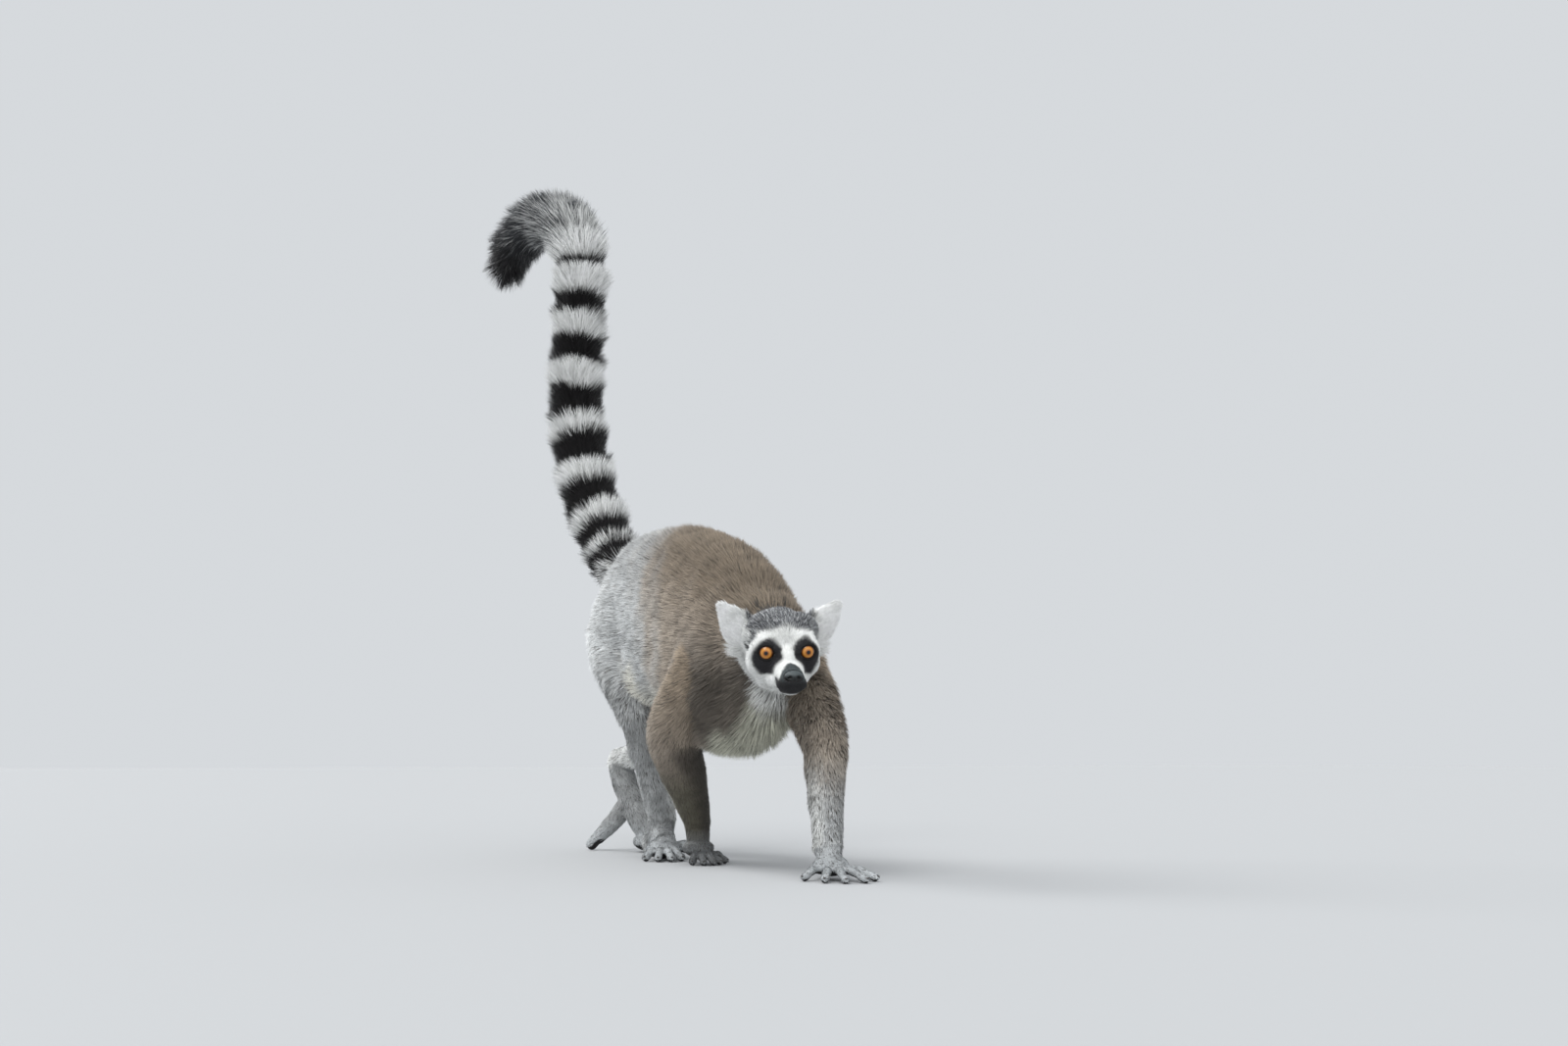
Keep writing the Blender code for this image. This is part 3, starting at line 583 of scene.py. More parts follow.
def head_place(q):
    """Below 1 in the head."""
    skull = oval(q, (0, -0.002, 0.001), (0.0350, 0.036, 0.036))
    snout = oval(q, (0, -0.038, -0.014), (0.0165, 0.028, 0.0155))
    return np.minimum(np.minimum(skull, snout), ear_place(q))


def survey(points):
    """Everything that the coat needs to know about places on the bare body."""
    table = bones()
    starts = np.array([row[1] for row in table], float)
    ends = np.array([row[2] for row in table], float)
    ways = ends - starts
    reach = np.linalg.norm(ways, axis=1)
    near = np.empty((len(points), len(table)), np.float32)
    share = np.empty_like(near)
    for i, row in enumerate(table):
        t = np.clip((points - starts[i]) @ ways[i] / reach[i] ** 2, 0, 1)
        off = np.linalg.norm(points - starts[i] - t[:, None] * ways[i], axis=1)
        near[:, i] = off / (row[3] + (row[4] - row[3]) * t)
        share[:, i] = t
    best = near.argmin(1)
    along = share[np.arange(len(points)), best].astype(float)
    region = np.array([CODE[row[0]] for row in table])[best]
    comb = np.exp(-5 * (near - near.min(1)[:, None])) @ unit(ways)
    places, *heights = np.array(TRUNK).T
    top, belly = (np.interp(points[:, 1], places, height) for height in heights)
    rise = (points[:, 2] - (top + belly) / 2) / ((top - belly) / 2)
    comb[:, 2] -= 0.75 * step(1.0, 0.2, np.abs(rise)) * (region <= CODE["neck"])
    comb[:, 2] -= 2.5 * step(0.120, 0.165, points[:, 1]) * (region == CODE["trunk"])
    q = head_axes(points)
    inside = head_place(q)
    is_head = inside < 1.0
    is_ear = is_head & (ear_place(q) < 1.0) & (np.abs(q[:, 0]) > 0.0275) & (q[:, 2] > 0.002)
    # the face's hairs lie away from the nose, the ears' outwards and up, and others round the eyes
    away = q - (0, -0.056, -0.008)
    away[:, 0] *= 1.5
    away[:, 2] -= 0.004
    away = unit(away)
    away[is_ear] = unit(np.array([0.75, 0.1, 0.62]))
    away[is_ear, 0] *= np.sign(q[is_ear, 0])
    from_eye = folded(q) - EYE
    from_eye[:, 0] *= np.sign(q[:, 0])
    from_eye[:, 1] = np.maximum(from_eye[:, 1], 0)
    beside_eye = step(EYE_RADIUS + 7 * MM, EYE_RADIUS + 1 * MM, eye_reach(q))
    away = mix(away, unit(from_eye), 0.9 * beside_eye)
    share_of_head = step(1.12, 0.92, inside)[:, None]
    comb = unit(comb) * (1 - share_of_head) + away @ HEAD_TURNED.T * share_of_head
    region[is_head] = CODE["head"]
    region[is_ear] = CODE["ear"]
    # the unwrap: each bone has its own strip, with the angle round it across the strip
    side = unit(np.cross(ways, (0.3, 0.2, 0.93)))
    other = np.cross(unit(ways), side)
    across = points - starts[best] - along[:, None] * ways[best]
    angle = np.arctan2((across * other[best]).sum(1), (across * side[best]).sum(1))
    strip = np.concatenate([[0], np.cumsum(reach)])[best] + along * reach[best]
    flat = np.column_stack([strip, (angle / (2 * math.pi) + 0.5) * 0.12])
    polar = unit(q - (0, 0.004, 0))
    rim = polar[:, [0, 2]]
    spread = np.arccos(np.clip(-polar[:, 1], -1, 1)) / np.maximum(np.linalg.norm(rim, axis=1), 1e-6)
    flat[is_head] = (rim * spread[:, None])[is_head]
    leaf = np.column_stack([q[:, 0], q[:, 2] + np.where(q[:, 1] > 0.004, 0.06, 0)])
    flat[is_ear] = leaf[is_ear]
    return {"region": region, "along": along, "comb": comb, "rise": rise, "q": q, "flat": flat}


def tail_share(points):
    tree = KDTree(len(TAIL_COURSE))
    for i, row in enumerate(TAIL_COURSE):
        tree.insert(row, i)
    tree.balance()
    return np.array([TAIL_SHARE[tree.find(point)[1]] for point in points])


# ---- markings ----


def srgb(*values):
    v = np.array(values) / 255
    return np.where(v <= 0.04045, v / 12.92, ((v + 0.055) / 1.055) ** 2.4)


BROWN, FLANK, GREY = srgb(137, 124, 108), srgb(166, 155, 142), srgb(188, 190, 190)
# the first colour here, an olive grey-brown, is painted shade, used only on the right forearm and
# hand
SHADED_OLIVE, PAW = srgb(112, 108, 94), srgb(194, 198, 200)
# the third colour here, a dark grey-brown, is painted shade on the shoulders' front and on the limbs'
# shaded sides, the colour of the scattered dark hairs, and the darker fur low on the back of the head
# and under the ears
WHITE, CREAM, SHADE_AND_DARK_HAIR = srgb(240, 241, 238), srgb(230, 228, 218), srgb(78, 73, 67)
# the breast's cream, painted darker and greener: painted shade and a painted reflection of green
# surroundings
BREAST_IN_SHADE = srgb(190, 190, 175)
MASK, CROWN, SNOUT = srgb(42, 41, 44), srgb(94, 96, 100), srgb(30, 30, 32)
# the third colour here, a grey-blue leather, is the dark leather with a painted reflection of the sky
BLACK, RING_WHITE, LEATHER_SKY_REFLECTION = srgb(22, 20, 21), srgb(244, 245, 243), srgb(74, 82, 84)
TAIL_TIP, EAR_WHITE, BARE_SKIN = srgb(52, 54, 57), srgb(254, 255, 253), srgb(26, 24, 25)
MASK_LEAN = math.radians(6)


def body_tone(points, rise):
    wobble = ripple(points, 0.018, 3)
    x, y, z = points.T
    rear = step(-0.085, 0.022, y + 0.014 * wobble - 0.05 * np.clip(rise, 0, 1))
    tone = mix(mix(FLANK * 1.15, GREY * 1.15, rear), mix(BROWN * 0.86, GREY * 0.76, rear),
               step(0.0, 0.8, rise + 0.08 * wobble))
    shaded = step(-0.075, -0.115, y) * step(0.45, -0.15, rise) * step(0.030, 0.008, x)
    tone = mix(tone, SHADE_AND_DARK_HAIR, 0.85 * shaded)
    belly = step(-0.50, -0.80, rise + 0.08 * wobble) * step(-0.08, -0.04, y) * step(0.140, 0.100, y)
    tone = mix(tone, CREAM, belly)
    # the cream bib in its shaded colour; it is narrower on the right side, where painted shade on the
    # shoulder's front takes its place
    reach = np.interp(z, (0.100, 0.130, 0.165), (0.026, 0.019, 0.010)) + 0.003 * wobble
    reach = np.where(x < 0, 0.74 * reach, reach)
    breast = step(0.004, -0.006, np.abs(x) - reach) * step(-0.040, -0.090, y) * step(0.190, 0.165, z)
    tone = mix(tone, BREAST_IN_SHADE, breast)
    q = head_axes(points)
    edge = np.abs(q[:, 0]) + 0.002 * wobble - np.where(x < 0, 0.021 + 0.33 * q[:, 2], 0.024)
    ruff = step(0.004, -0.001, edge) * step(0.012, 0.000, q[:, 2])
    return mix(tone, WHITE * 0.85, ruff * step(0.038, 0.024, q[:, 1]) * step(-0.050, -0.034, q[:, 2]))


def limb_tone(points, normals, along, name, part):
    outward = normals[:, 0] if name.endswith("l") else -normals[:, 0]
    wobble = 0.15 * ripple(points, 0.018, 3)
    # painted shade on the sides of a limb that face inwards and forwards
    shaded_side = step(0.15, 0.95, -0.70 * outward - 0.70 * normals[:, 1] + wobble)
    if part == "end":
        low = step(0.038, 0.010, points[:, 2])
        if name != "arm_r":
            return mix(GREY * 0.85, PAW, low)
        # the right hand and wrist are painted darker than the other hands and feet: painted shade
        return mix(mix(SHADED_OLIVE * 0.85, SHADE_AND_DARK_HAIR * 0.7, 0.85 * shaded_side), PAW * 0.40, low)
    # the right arm is painted darker than the left, its forearm olive: painted shade
    if name == "arm_r":
        if part == "upper":
            return mix(mix(BROWN * 1.35, FLANK * 0.85, along), SHADE_AND_DARK_HAIR, 0.85 * shaded_side)
        return mix(mix(FLANK * 0.80, SHADED_OLIVE * 0.85, step(0, 0.5, along)), SHADE_AND_DARK_HAIR * 0.7, 0.85 * shaded_side)
    # the left arm is painted lighter than the right: painted light
    if name == "arm_l":
        if part == "upper":
            return mix(mix(BROWN * 1.5, FLANK * 1.08, along), SHADE_AND_DARK_HAIR, 0.50 * shaded_side * (1 - along))
        tone = mix(FLANK * 1.08, GREY * 0.95, step(0, 0.7, along))
        return mix(tone, WHITE, 0.70 * step(-0.50, -1.0, outward + wobble) * step(0, 0.6, along))
    tone = mix(GREY * 1.35, GREY * 0.92, step(0.1, 0.8, along))
    if part == "lower":
        tone = mix(GREY * 0.88, GREY * 1.1, along**2)
    # the left leg is painted lighter than the right: painted light
    if name == "leg_l":
        tone = tone * 1.25
    return mix(tone, WHITE, 0.80 * step(-0.15, -0.85, outward + wobble))


def peppered(tone, other, share):
    """Turns this share of the hairs to the other colour."""
    chosen = RNG.random(len(tone)) < share
    return np.where(chosen[:, None], other * RNG.uniform(0.7, 1.3, len(tone))[:, None], tone)


def tail_tone(points):
    shown = tail_share(points) + RING_LIFT + 0.004 * ripple(points, 0.010, 8)
    dark = np.max([step(half + 0.003, half - 0.003, np.abs(shown - centre))
                   for centre, half in BLACK_RINGS], axis=0)
    pale = mix(RING_WHITE, GREY * 0.55, 0.7 * step(0.71, 0.82, shown))
    tone = mix(pale, BLACK, dark)
    streak = step(-0.5, 0.9, ripple(points, 0.007, 9) + 0.5 * ripple(points, 0.018, 10))
    tone = peppered(tone, TAIL_TIP, (0.25 + 0.60 * streak) * step(0.71, 0.79, shown))
    tone = peppered(tone, TAIL_TIP, 0.80 * step(0.80, 0.92, shown))
    return mix(tone, BLACK * 1.6, step(0.90, 1.0, shown) * 0.8)


def head_tone(points, q):
    wobble = ripple(points, 0.006, 5)
    x, y, z = folded(q).T
    height = z - 0.0010 * wobble + 0.10 * np.maximum(x - 0.012, 0) + 0.16 * (y + 0.02)
    hood = step(0.0158, 0.0192, height)
    temple = step(0.0190, 0.0215, x) * step(0.0050, 0.0085, z)
    temple *= step(0.006, -0.002, y) * step(-0.024, -0.018, y)
    hood = np.maximum(hood, 0.9 * temple) * step(0.0268, 0.0242, x - 0.0010 * wobble)
    tone = peppered(mix(WHITE, CROWN, hood), MASK, 0.30 * hood)
    tone = peppered(tone, GREY, 0.22 * hood)
    tone = mix(tone, SHADE_AND_DARK_HAIR, step(0.006, 0.018, y) * step(-0.010, 0.004, z))
    under_ear = step(-0.001, 0.004, x - 0.0280 - 0.33 * z)
    under_ear *= step(-0.010, 0.000, y) * step(-0.002, -0.008, z)
    tone = mix(tone, SHADE_AND_DARK_HAIR * 1.2, under_ear)
    # the mask: a slightly leaning, rounded patch round each eye and a spot beyond its outer corner
    dx, dz = x - (EYE[0] - 0.0008), z - (EYE[2] - 0.0034)
    cos, sin = math.cos(MASK_LEAN), math.sin(MASK_LEAN)
    u, v = np.abs(dx * cos - dz * sin) / 0.0106, np.abs(dx * sin + dz * cos) / 0.0132
    patch = step(1.15, 0.90, (u**1.8 + v**1.8) ** (1 / 1.8) + 0.06 * wobble)
    patch *= step(-0.004, -0.012, y) * step(0.0030, 0.0046, x)
    patch *= step(-0.0150, -0.0120, z + 0.25 * (x - 0.015)) * step(-0.0380, -0.0340, y)
    tone = mix(tone, MASK, patch)
    spot = oval(folded(q), (0.0268, -0.0080, 0.0042), (0.0050, 0.0024, 0.0026))
    tone = mix(tone, MASK, 0.9 * step(1.15, 0.8, spot))
    snout = step(-0.0412, -0.0432, y + 0.00035 * wobble + 0.80 * x)
    snout = np.maximum(snout, step(-0.0370, -0.0385, y) * step(-0.0125, -0.0150, z))
    snout *= step(-0.0262, -0.0248, z)
    tone = mix(tone, SNOUT, snout)
    # the top of the snout in grey-blue leather: a painted reflection of the sky
    return mix(tone, LEATHER_SKY_REFLECTION, snout * step(0.0105, 0.0075, x) * step(-0.0165, -0.0120, z))


def lip_gap(q):
    """How far each place is from the line of the mouth."""
    _, y, z = q.T
    sag = -0.0236 - 0.0006 * step(-0.030, -0.050, y) + 0.0009 * step(-0.034, -0.029, y)
    return np.abs(z - sag) + 2 * np.maximum(y + 0.0285, 0)


def markings(points, normals, known):
    """The coat's colour at each place."""
    on = parted(known["region"])
    colour = body_tone(points, known["rise"])
    for name in LIMBS:
        for part in PARTS:
            here = on[f"{name}_{part}"]
            colour[here] = limb_tone(points[here], normals[here], known["along"][here], name, part)
    colour = peppered(colour, SHADE_AND_DARK_HAIR, 0.11)
    colour[on["tail"]] = tail_tone(points[on["tail"]])
    colour[on["head"]] = head_tone(points[on["head"]], known["q"][on["head"]])
    colour[on["ear"]] = EAR_WHITE
    return colour


# ---- the coat ----

LIE = {  # width of a tuft in mm, tufts on a square millimetre, lift in degrees at root and tip
    "trunk": (0.52, 1.50, 56, 38), "neck": (0.52, 1.50, 50, 34), "tail": (0.68, 2.10, 62, 50),
    "head": (0.37, 4.8, 28, 16), "ear": (0.44, 5.5, 17, 7),
    "upper": (0.52, 1.70, 46, 28), "lower": (0.46, 2.20, 40, 22), "end": (0.36, 2.70, 20, 8),
}


def growth(points, normals, known):
    """Length in mm, width in mm, density and the two lifts of the coat at each place."""
    on, along, q = parted(known["region"]), known["along"], known["q"]
    length = np.full(len(points), 15.0)
    kind = np.zeros((len(points), 4))
    for name, here in on.items():
        kind[here] = LIE[name.split("_")[-1]]
    for name, (_, _, coat, _) in LIMBS.items():
        lengths = 1.4 * np.array(coat) / MM
        for part, three in (("_upper", lengths[:3]), ("_lower", lengths[2:])):
            here = on[name + part]
            length[here] = np.interp(along[here], (0, 0.5, 1), three)
        here = on[name + "_end"]
        length[here] = np.clip(2.6 + 110 * (points[here, 2] - 0.011), 2.6, 5.5)
    here = on["tail"]
    far = tail_share(points[here])
    length[here] = np.interp(far, (0, 0.06, 0.15, 0.65, 0.75, 0.9, 1), (20, 24, 29, 29, 33, 31, 26))
    shown = far + RING_LIFT
    dark = np.max([step(half, half * 0.6, np.abs(shown - centre))
                   for centre, half in BLACK_RINGS], axis=0)
    length[here] *= 1 - 0.26 * dark
    chest = step(-0.2, -0.7, known["rise"]) * step(-0.04, -0.09, points[:, 1])
    length += 8 * chest * on["trunk"]
    length[on["ear"]] = 7.5
    here = on["head"]
    x, y, z = folded(q[here]).T
    longest = 4.5 + 5.5 * step(-0.026, 0.004, y)
    longest += 3 * step(0.016, 0.026, x) * step(0.010, -0.002, z) * step(-0.020, -0.008, y)
    longest += 3 * step(-0.012, -0.020, z) * step(-0.036, -0.022, y)
    longest += (7.0 - longest) * step(0.012, 0.020, z)
    longest *= 1 - 0.68 * step(-0.024, -0.038, y)
    beside_eye = 1.6 + 0.42 * np.maximum(eye_reach(q[here]) - EYE_RADIUS - 1 * MM, 0) / MM
    length[here] = np.minimum(longest, beside_eye)
    width, density, low_lift, high_lift = kind.T
    face = on["head"] * step(-0.012, -0.032, q[:, 1])
    width = width * (1 - 0.30 * face)
    density = density * (1 + 0.60 * face)
    # no hair grows on the eyes, the nose, the line of the mouth and the soles
    bare = eye_reach(q) < EYE_RADIUS + 0.35 * MM
    bare |= oval(q, NOSE, np.array(NOSE_SIZE) * 1.12) < 1.0
    bare |= on["head"] & (lip_gap(q) < 0.7 * MM) & (q[:, 1] < -0.0285)
    ends = np.any([on[name + "_end"] for name in LIMBS], axis=0)
    bare |= ends & (normals[:, 2] < -0.35) & (points[:, 2] < 0.011)
    return length, width, np.where(bare, 0, density), low_lift, high_lift


def piece_of(points, known):
    """Which piece of the coat each root belongs to."""
    on = parted(known["region"])
    names = np.full(len(points), "coat_back", dtype="<U20")
    flank = on["trunk"] & (known["rise"] < 0.35)
    names[flank] = np.where(points[flank, 0] > 0, "coat_flank_left", "coat_flank_right")
    names[on["neck"]] = "coat_neck"
    names[on["head"]] = "coat_head"
    names[on["head"] & (known["q"][:, 1] < -0.016)] = "coat_face"
    names[on["ear"]] = "coat_ears"
    names[on["tail"]] = "coat_tail_lower"
    names[on["tail"] & (points[:, 2] > 0.470)] = "coat_tail_upper"
    for name in LIMBS:
        word = "coat_" + name.replace("_r", "_right").replace("_l", "_left")
        names[on[name + "_upper"] | on[name + "_lower"]] = word
        names[on[name + "_end"]] = "coat_hands_feet"
    return names


def scattered(points, triangles, density):
    """Corners and weights of places spread over the surface, so many on a square mm."""
    a, b, c = (points[triangles[:, i]] for i in range(3))
    area = 0.5e6 * np.linalg.norm(np.cross(b - a, c - a), axis=1)
    count = np.floor(area * density[triangles].mean(1) + RNG.random(len(area))).astype(int)
    which = np.repeat(np.arange(len(triangles)), count)
    s, t = RNG.random((2, len(which)))
    over = s + t > 1
    s[over], t[over] = 1 - s[over], 1 - t[over]
    return triangles[which], np.column_stack([1 - s - t, s, t])


LOCK = 0.0055  # size of the places whose tufts lean together
USUAL_HABIT = (0.28, 0.11, 0.34)  # pull into locks, variation between tufts, rise of the root's tone
HABIT = {"tail": (0.42, 0.11, 0.34), "ears": (0.30, 0.05, 0.50)}
# each tuft's tone from root to tip: darker at the root as painted shade, lighter at the tip
ROOT_TONE, KNEE_TONE, TIP_TONE = 0.44, 0.94, 1.12
PATCH = 0.003  # size of a tuft in the unwrap


def tufts(name, roots, ups, combs, length, width, lifts, colour, flat):
    """One piece of the coat: each tuft is a bent sliver of three triangles."""
    gather, variation, rise = HABIT.get(name.split("_")[1], USUAL_HABIT)
    n = len(roots)
    length = length * MM * RNG.uniform(0.78, 1.18, n) * (1 + 0.10 * ripple(roots, 0.012, 21))
    half = width * MM * RNG.uniform(0.35, 0.62, n)
    along = unit(combs - (combs * ups).sum(1)[:, None] * ups)
    sway = np.radians(RNG.normal(0, 9, n) + 12 * ripple(roots, 0.014, 22))
    side = np.cross(ups, along)
    along = along * np.cos(sway)[:, None] + side * np.sin(sway)[:, None]
    lean = [np.radians(lift + RNG.normal(0, 5, n) + 5 * ripple(roots, 0.010, 23)) for lift in lifts]
    first, last = (along * np.cos(a)[:, None] + ups * np.sin(a)[:, None] for a in lean)
    base = roots - ups * 0.4 * MM
    knee = base + first * (length * 0.5)[:, None]
    tip = knee + last * (length * 0.5)[:, None]
    # tips gather into locks
    jumbled = np.floor((roots + RNG.normal(0, LOCK * 0.22, roots.shape)) / LOCK).astype(np.int64)
    _, lock = np.unique(jumbled @ np.array([1, 4096, 4096**2]), return_inverse=True)
    size = np.bincount(lock)
    middle = np.column_stack([np.bincount(lock, tip[:, k]) / size for k in range(3)])[lock]
    pull = np.minimum(gather, 0.024 * length / MM)[:, None]
    tip += (middle - tip) * pull
    knee += (middle - tip) * pull * 0.25
    roll = np.radians(RNG.uniform(-48, 48, n))
    side = unit(np.cross(first, ups))
    out = np.cross(side, first)
    blade = side * np.cos(roll)[:, None] + out * np.sin(roll)[:, None]
    blade *= np.sign((np.cross(blade, first) * ups).sum(1))[:, None]
    wide = blade * half[:, None]
    corners = np.stack([base - wide * 0.8, base + wide * 0.8, knee + wide, knee - wide, tip], 1)
    corners[:, :, 2] = np.maximum(corners[:, :, 2], 0.3 * MM)
    order = np.array([0, 1, 2, 3, 3, 2, 4])
    loops = (np.arange(n)[:, None] * 5 + order).ravel()
    starts = (np.arange(n)[:, None] * 7 + np.array([0, 4])).ravel()
    mesh = bpy.data.meshes.new(name)
    mesh.vertices.add(5 * n)
    moulded(mesh, corners)
    mesh.loops.add(7 * n)
    mesh.loops.foreach_set("vertex_index", loops.astype(np.int32))
    mesh.polygons.add(2 * n)
    mesh.polygons.foreach_set("loop_start", starts.astype(np.int32))
    mesh.update(calc_edges=True)
    low, high = flat.min(0), flat.max(0)
    spot = (flat - low) / np.maximum(high - low, 1e-9) * (1 - 2 * PATCH) + PATCH
    patch = np.array([(-0.5, -0.5), (0.5, -0.5), (0.5, 0.1), (-0.5, 0.1), (0, 0.5)]) * PATCH
    uv = (spot[:, None] + patch)[:, order]
    mesh.uv_layers.new(name="OFBake").data.foreach_set("uv", uv.astype(np.float32).ravel())
    # painted shade at the root, lighter towards the tip, each tuft a little different
    own = RNG.normal(1, variation, n) * (1 + 0.10 * ripple(roots, 0.008, 24))
    root, knees = ROOT_TONE + rise * colour.mean(1), np.full(n, KNEE_TONE)
    shades = np.column_stack([root, root, knees, knees, np.full(n, TIP_TONE)])
    tone = (colour * own[:, None])[:, None] * shades[:, :, None]
    painted(mesh, tone.clip(0, 0.95).reshape(-1, 3))
    # shaded partly as a round hair and partly as the skin below
    bends = unit(np.stack([first, first, first + last, first + last, last], 1))
    soft = ups[:, None] - 0.75 * (ups[:, None] * bends).sum(2, keepdims=True) * bends
    soft = unit(soft + 0.22 * blade[:, None] * np.sign(RNG.random(n) - 0.5)[:, None, None])
    rounded(mesh)
    mesh.normals_split_custom_set_from_vertices(soft.reshape(-1, 3).astype(np.float32))
    return mesh_object(name, mesh)


def at(field, corners, weights):
    """The field's values at places inside the triangles."""
    values = field[corners]
    return (values * weights.reshape(weights.shape + (1,) * (values.ndim - 2))).sum(1)


def grown_coat(points, normals, triangles, known):
    length, width, density, low_lift, high_lift = growth(points, normals, known)
    corners, weights = scattered(points, triangles, density * (1))
    roots = at(points, corners, weights)
    ups = unit(at(normals, corners, weights))
    first = corners[:, 0]
    here = {key: known[key][first] for key in ("region", "along", "flat")}
    here["q"] = head_axes(roots)
    here["rise"] = at(known["rise"], corners, weights)
    combs = at(known["comb"], corners, weights)
    colour = markings(roots, ups, here)
    names = piece_of(roots, here)
    sizes = [at(field, corners, weights) for field in (length, width, low_lift, high_lift)]
    made = []
    for name in sorted(set(names)):
        mine = names == name
        long, wide, *lifts = (field[mine] for field in sizes)
        made.append(tufts(name, roots[mine], ups[mine], combs[mine], long, wide, lifts,
                          colour[mine], here["flat"][mine]))
    return made


# ---- eyes, lids, nose and nails ----


def eye_axes(side, splay=EYE_SPLAY):
    """Axes at the eyeball's middle, whose Z is the way that it looks."""
    placed = head_frame().to_3x3() @ gaze(side, splay)
    return Matrix.Translation(in_head(EYE, side)) @ turned_to(placed)


GAZE = {1: 4.0, -1: 12.0}  # how far each eye looks outwards, in degrees
IRIS, PUPIL = 4.9 * MM, 1.5 * MM
IRIS_IN, IRIS_MID, IRIS_OUT = srgb(132, 74, 26), srgb(186, 124, 50), srgb(84, 44, 16)
PUPIL_BLACK, EYE_BROWN, LID_BLACK = srgb(14, 12, 12), srgb(30, 20, 14), srgb(15, 14, 14)
NOSTRIL, HORN = srgb(10, 10, 11), srgb(62, 57, 54)


def eyeball(side, word):
    obj = ball((0, 0, 0), (EYE_RADIUS,) * 3, segments=96, rings=80, name="eyeball_" + word)
    mesh = obj.data
    points = arrays(mesh)[0]
    off = np.hypot(points[:, 0], points[:, 1])
    front = points[:, 2] > 0
    angle = np.arctan2(points[:, 1], points[:, 0])
    fibre = 0.5 * np.sin(angle * 37 + 3 * np.sin(angle * 5)) + 0.5 * np.sin(angle * 61 + 1.3)
    tone = mix(IRIS_IN, IRIS_MID, step(PUPIL, IRIS * 0.6, off))
    tone = tone * (1 + 0.16 * fibre * step(PUPIL, IRIS * 0.5, off))[:, None]
    tone = mix(tone, IRIS_OUT, step(IRIS * 0.72, IRIS * 0.98, off))
    tone = mix(tone, PUPIL_BLACK, step(PUPIL + 0.15 * MM, PUPIL - 0.15 * MM, off))
    tone = mix(tone, EYE_BROWN, step(IRIS - 0.1 * MM, IRIS + 0.4 * MM, off))
    tone[~front] = EYE_BROWN
    painted(mesh, tone)
    points[:, 2] += np.maximum(0, 1 - (off / (IRIS * 1.08)) ** 2) * MM * front  # the cornea
    moulded(mesh, points)
    mesh.transform(eye_axes(side, GAZE[side]))
    rounded(mesh)
    return obj


LID_OPEN, LID_SPOKES = (42.0, 35.5), 96  # how far open across and up, in degrees from the gaze
LID_PROFILE = [  # degrees past the opening's edge, and height over the eyeball in mm
    (-1.0, -0.25), (-0.3, 0.14), (0.6, 0.50), (1.8, 0.85), (3.6, 1.15), (6.0, 1.30), (9.0, 1.25),
    (13.0, 0.85), (19.0, 0.0),
]


def lid(side, word):
    """The dark rim of both lids, as one rounded ring on the eyeball."""
    axes = eye_axes(side)
    own = axes.inverted().to_3x3()
    to_nose = own @ (in_head((0, EYE[1], EYE[2] - 0.004)) - in_head(EYE, side))
    up = own @ (head_frame().to_3x3() @ Vector((0, 0, 1)))
    inner, top = math.atan2(to_nose.y, to_nose.x), math.atan2(up.y, up.x)
    shape = bmesh.new()
    rows = []
    for past, height in LID_PROFILE:
        far = EYE_RADIUS + height * MM
        row = []
        for k in range(LID_SPOKES):
            turn = 2 * math.pi * k / LID_SPOKES
            gape = LID_OPEN[0] + (LID_OPEN[1] - LID_OPEN[0]) * math.cos(turn - top) ** 2
            corner = math.cos((turn - inner) / 2) ** 24
            aside = math.radians(gape + 7 * corner + past)
            out = far * math.sin(aside)
            place = (out * math.cos(turn), out * math.sin(turn), far * math.cos(aside))
            row.append(shape.verts.new(place))
        rows.append(row)
    for low, high in zip(rows, rows[1:]):
        for k in range(-1, LID_SPOKES - 1):
            shape.faces.new((low[k], high[k], high[k + 1], low[k + 1]))
    bmesh.ops.recalc_face_normals(shape, faces=shape.faces)
    rim = settled(shape, "lids_" + word)
    rim.data.transform(axes)
    rounded(rim.data)
    painted(rim.data, LID_BLACK)
    return rim


def nose_pad():
    """The leathery pad, with a cleft down its middle and two comma-shaped nostrils."""
    pad = ball((0, 0, 0), NOSE_SIZE, segments=112, name="nose_pad")
    points = arrays(pad.data)[0]
    x, y, z = points.T / MM
    _, deep, tall = np.array(NOSE_SIZE) / MM
    front = step(0.0, -0.7, y / deep)
    points[:, 0] *= 1 - 0.34 * step(0.1, -1.0, z / tall)
    out = np.abs(x)
    hole = np.exp(-(((out - 3.0) / 1.20) ** 2 + ((z - 0.1) / 1.00) ** 2))
    comma = np.exp(-(((out - 4.1) / 1.1) ** 2 + ((z + 0.4) / 0.62) ** 2))
    dip = np.maximum(hole, comma)
    cleft = np.exp(-((x / 0.42) ** 2)) * step(1.6, -1.0, z)
    points[:, 1] += (1.9 * dip + 0.6 * cleft) * front * MM
    tone = mix(LEATHER_SKY_REFLECTION, NOSTRIL, np.clip((1.5 * dip + 0.5 * cleft) * front, 0, 1))
    # the pad is darker towards the bottom; its grey-blue top is a painted reflection of the sky
    painted(pad.data, tone * (0.86 - 0.76 * step(3.2, -1.0, z))[:, None])
    moulded(pad.data, points)
    pad.data.transform(head_frame() @ Matrix.Translation(NOSE))
    rounded(pad.data)
    return pad


def nails():
    made = []
    for _, tip, way, radius in DIGITS:
        flat = Vector((way.x, way.y, min(way.z, 0))).normalized()
        place = tip + flat * radius * 0.62 + Vector((0, 0, radius * 0.30))
        sizes = (radius * 0.38, radius * 0.22, radius * 0.70)
        made.append(ball(place, sizes, turned_to(flat), segments=16))
    nail = joined(made, "nails")
    rounded(nail.data)
    painted(nail.data, HORN)
    return nail


# ---- finishes ----

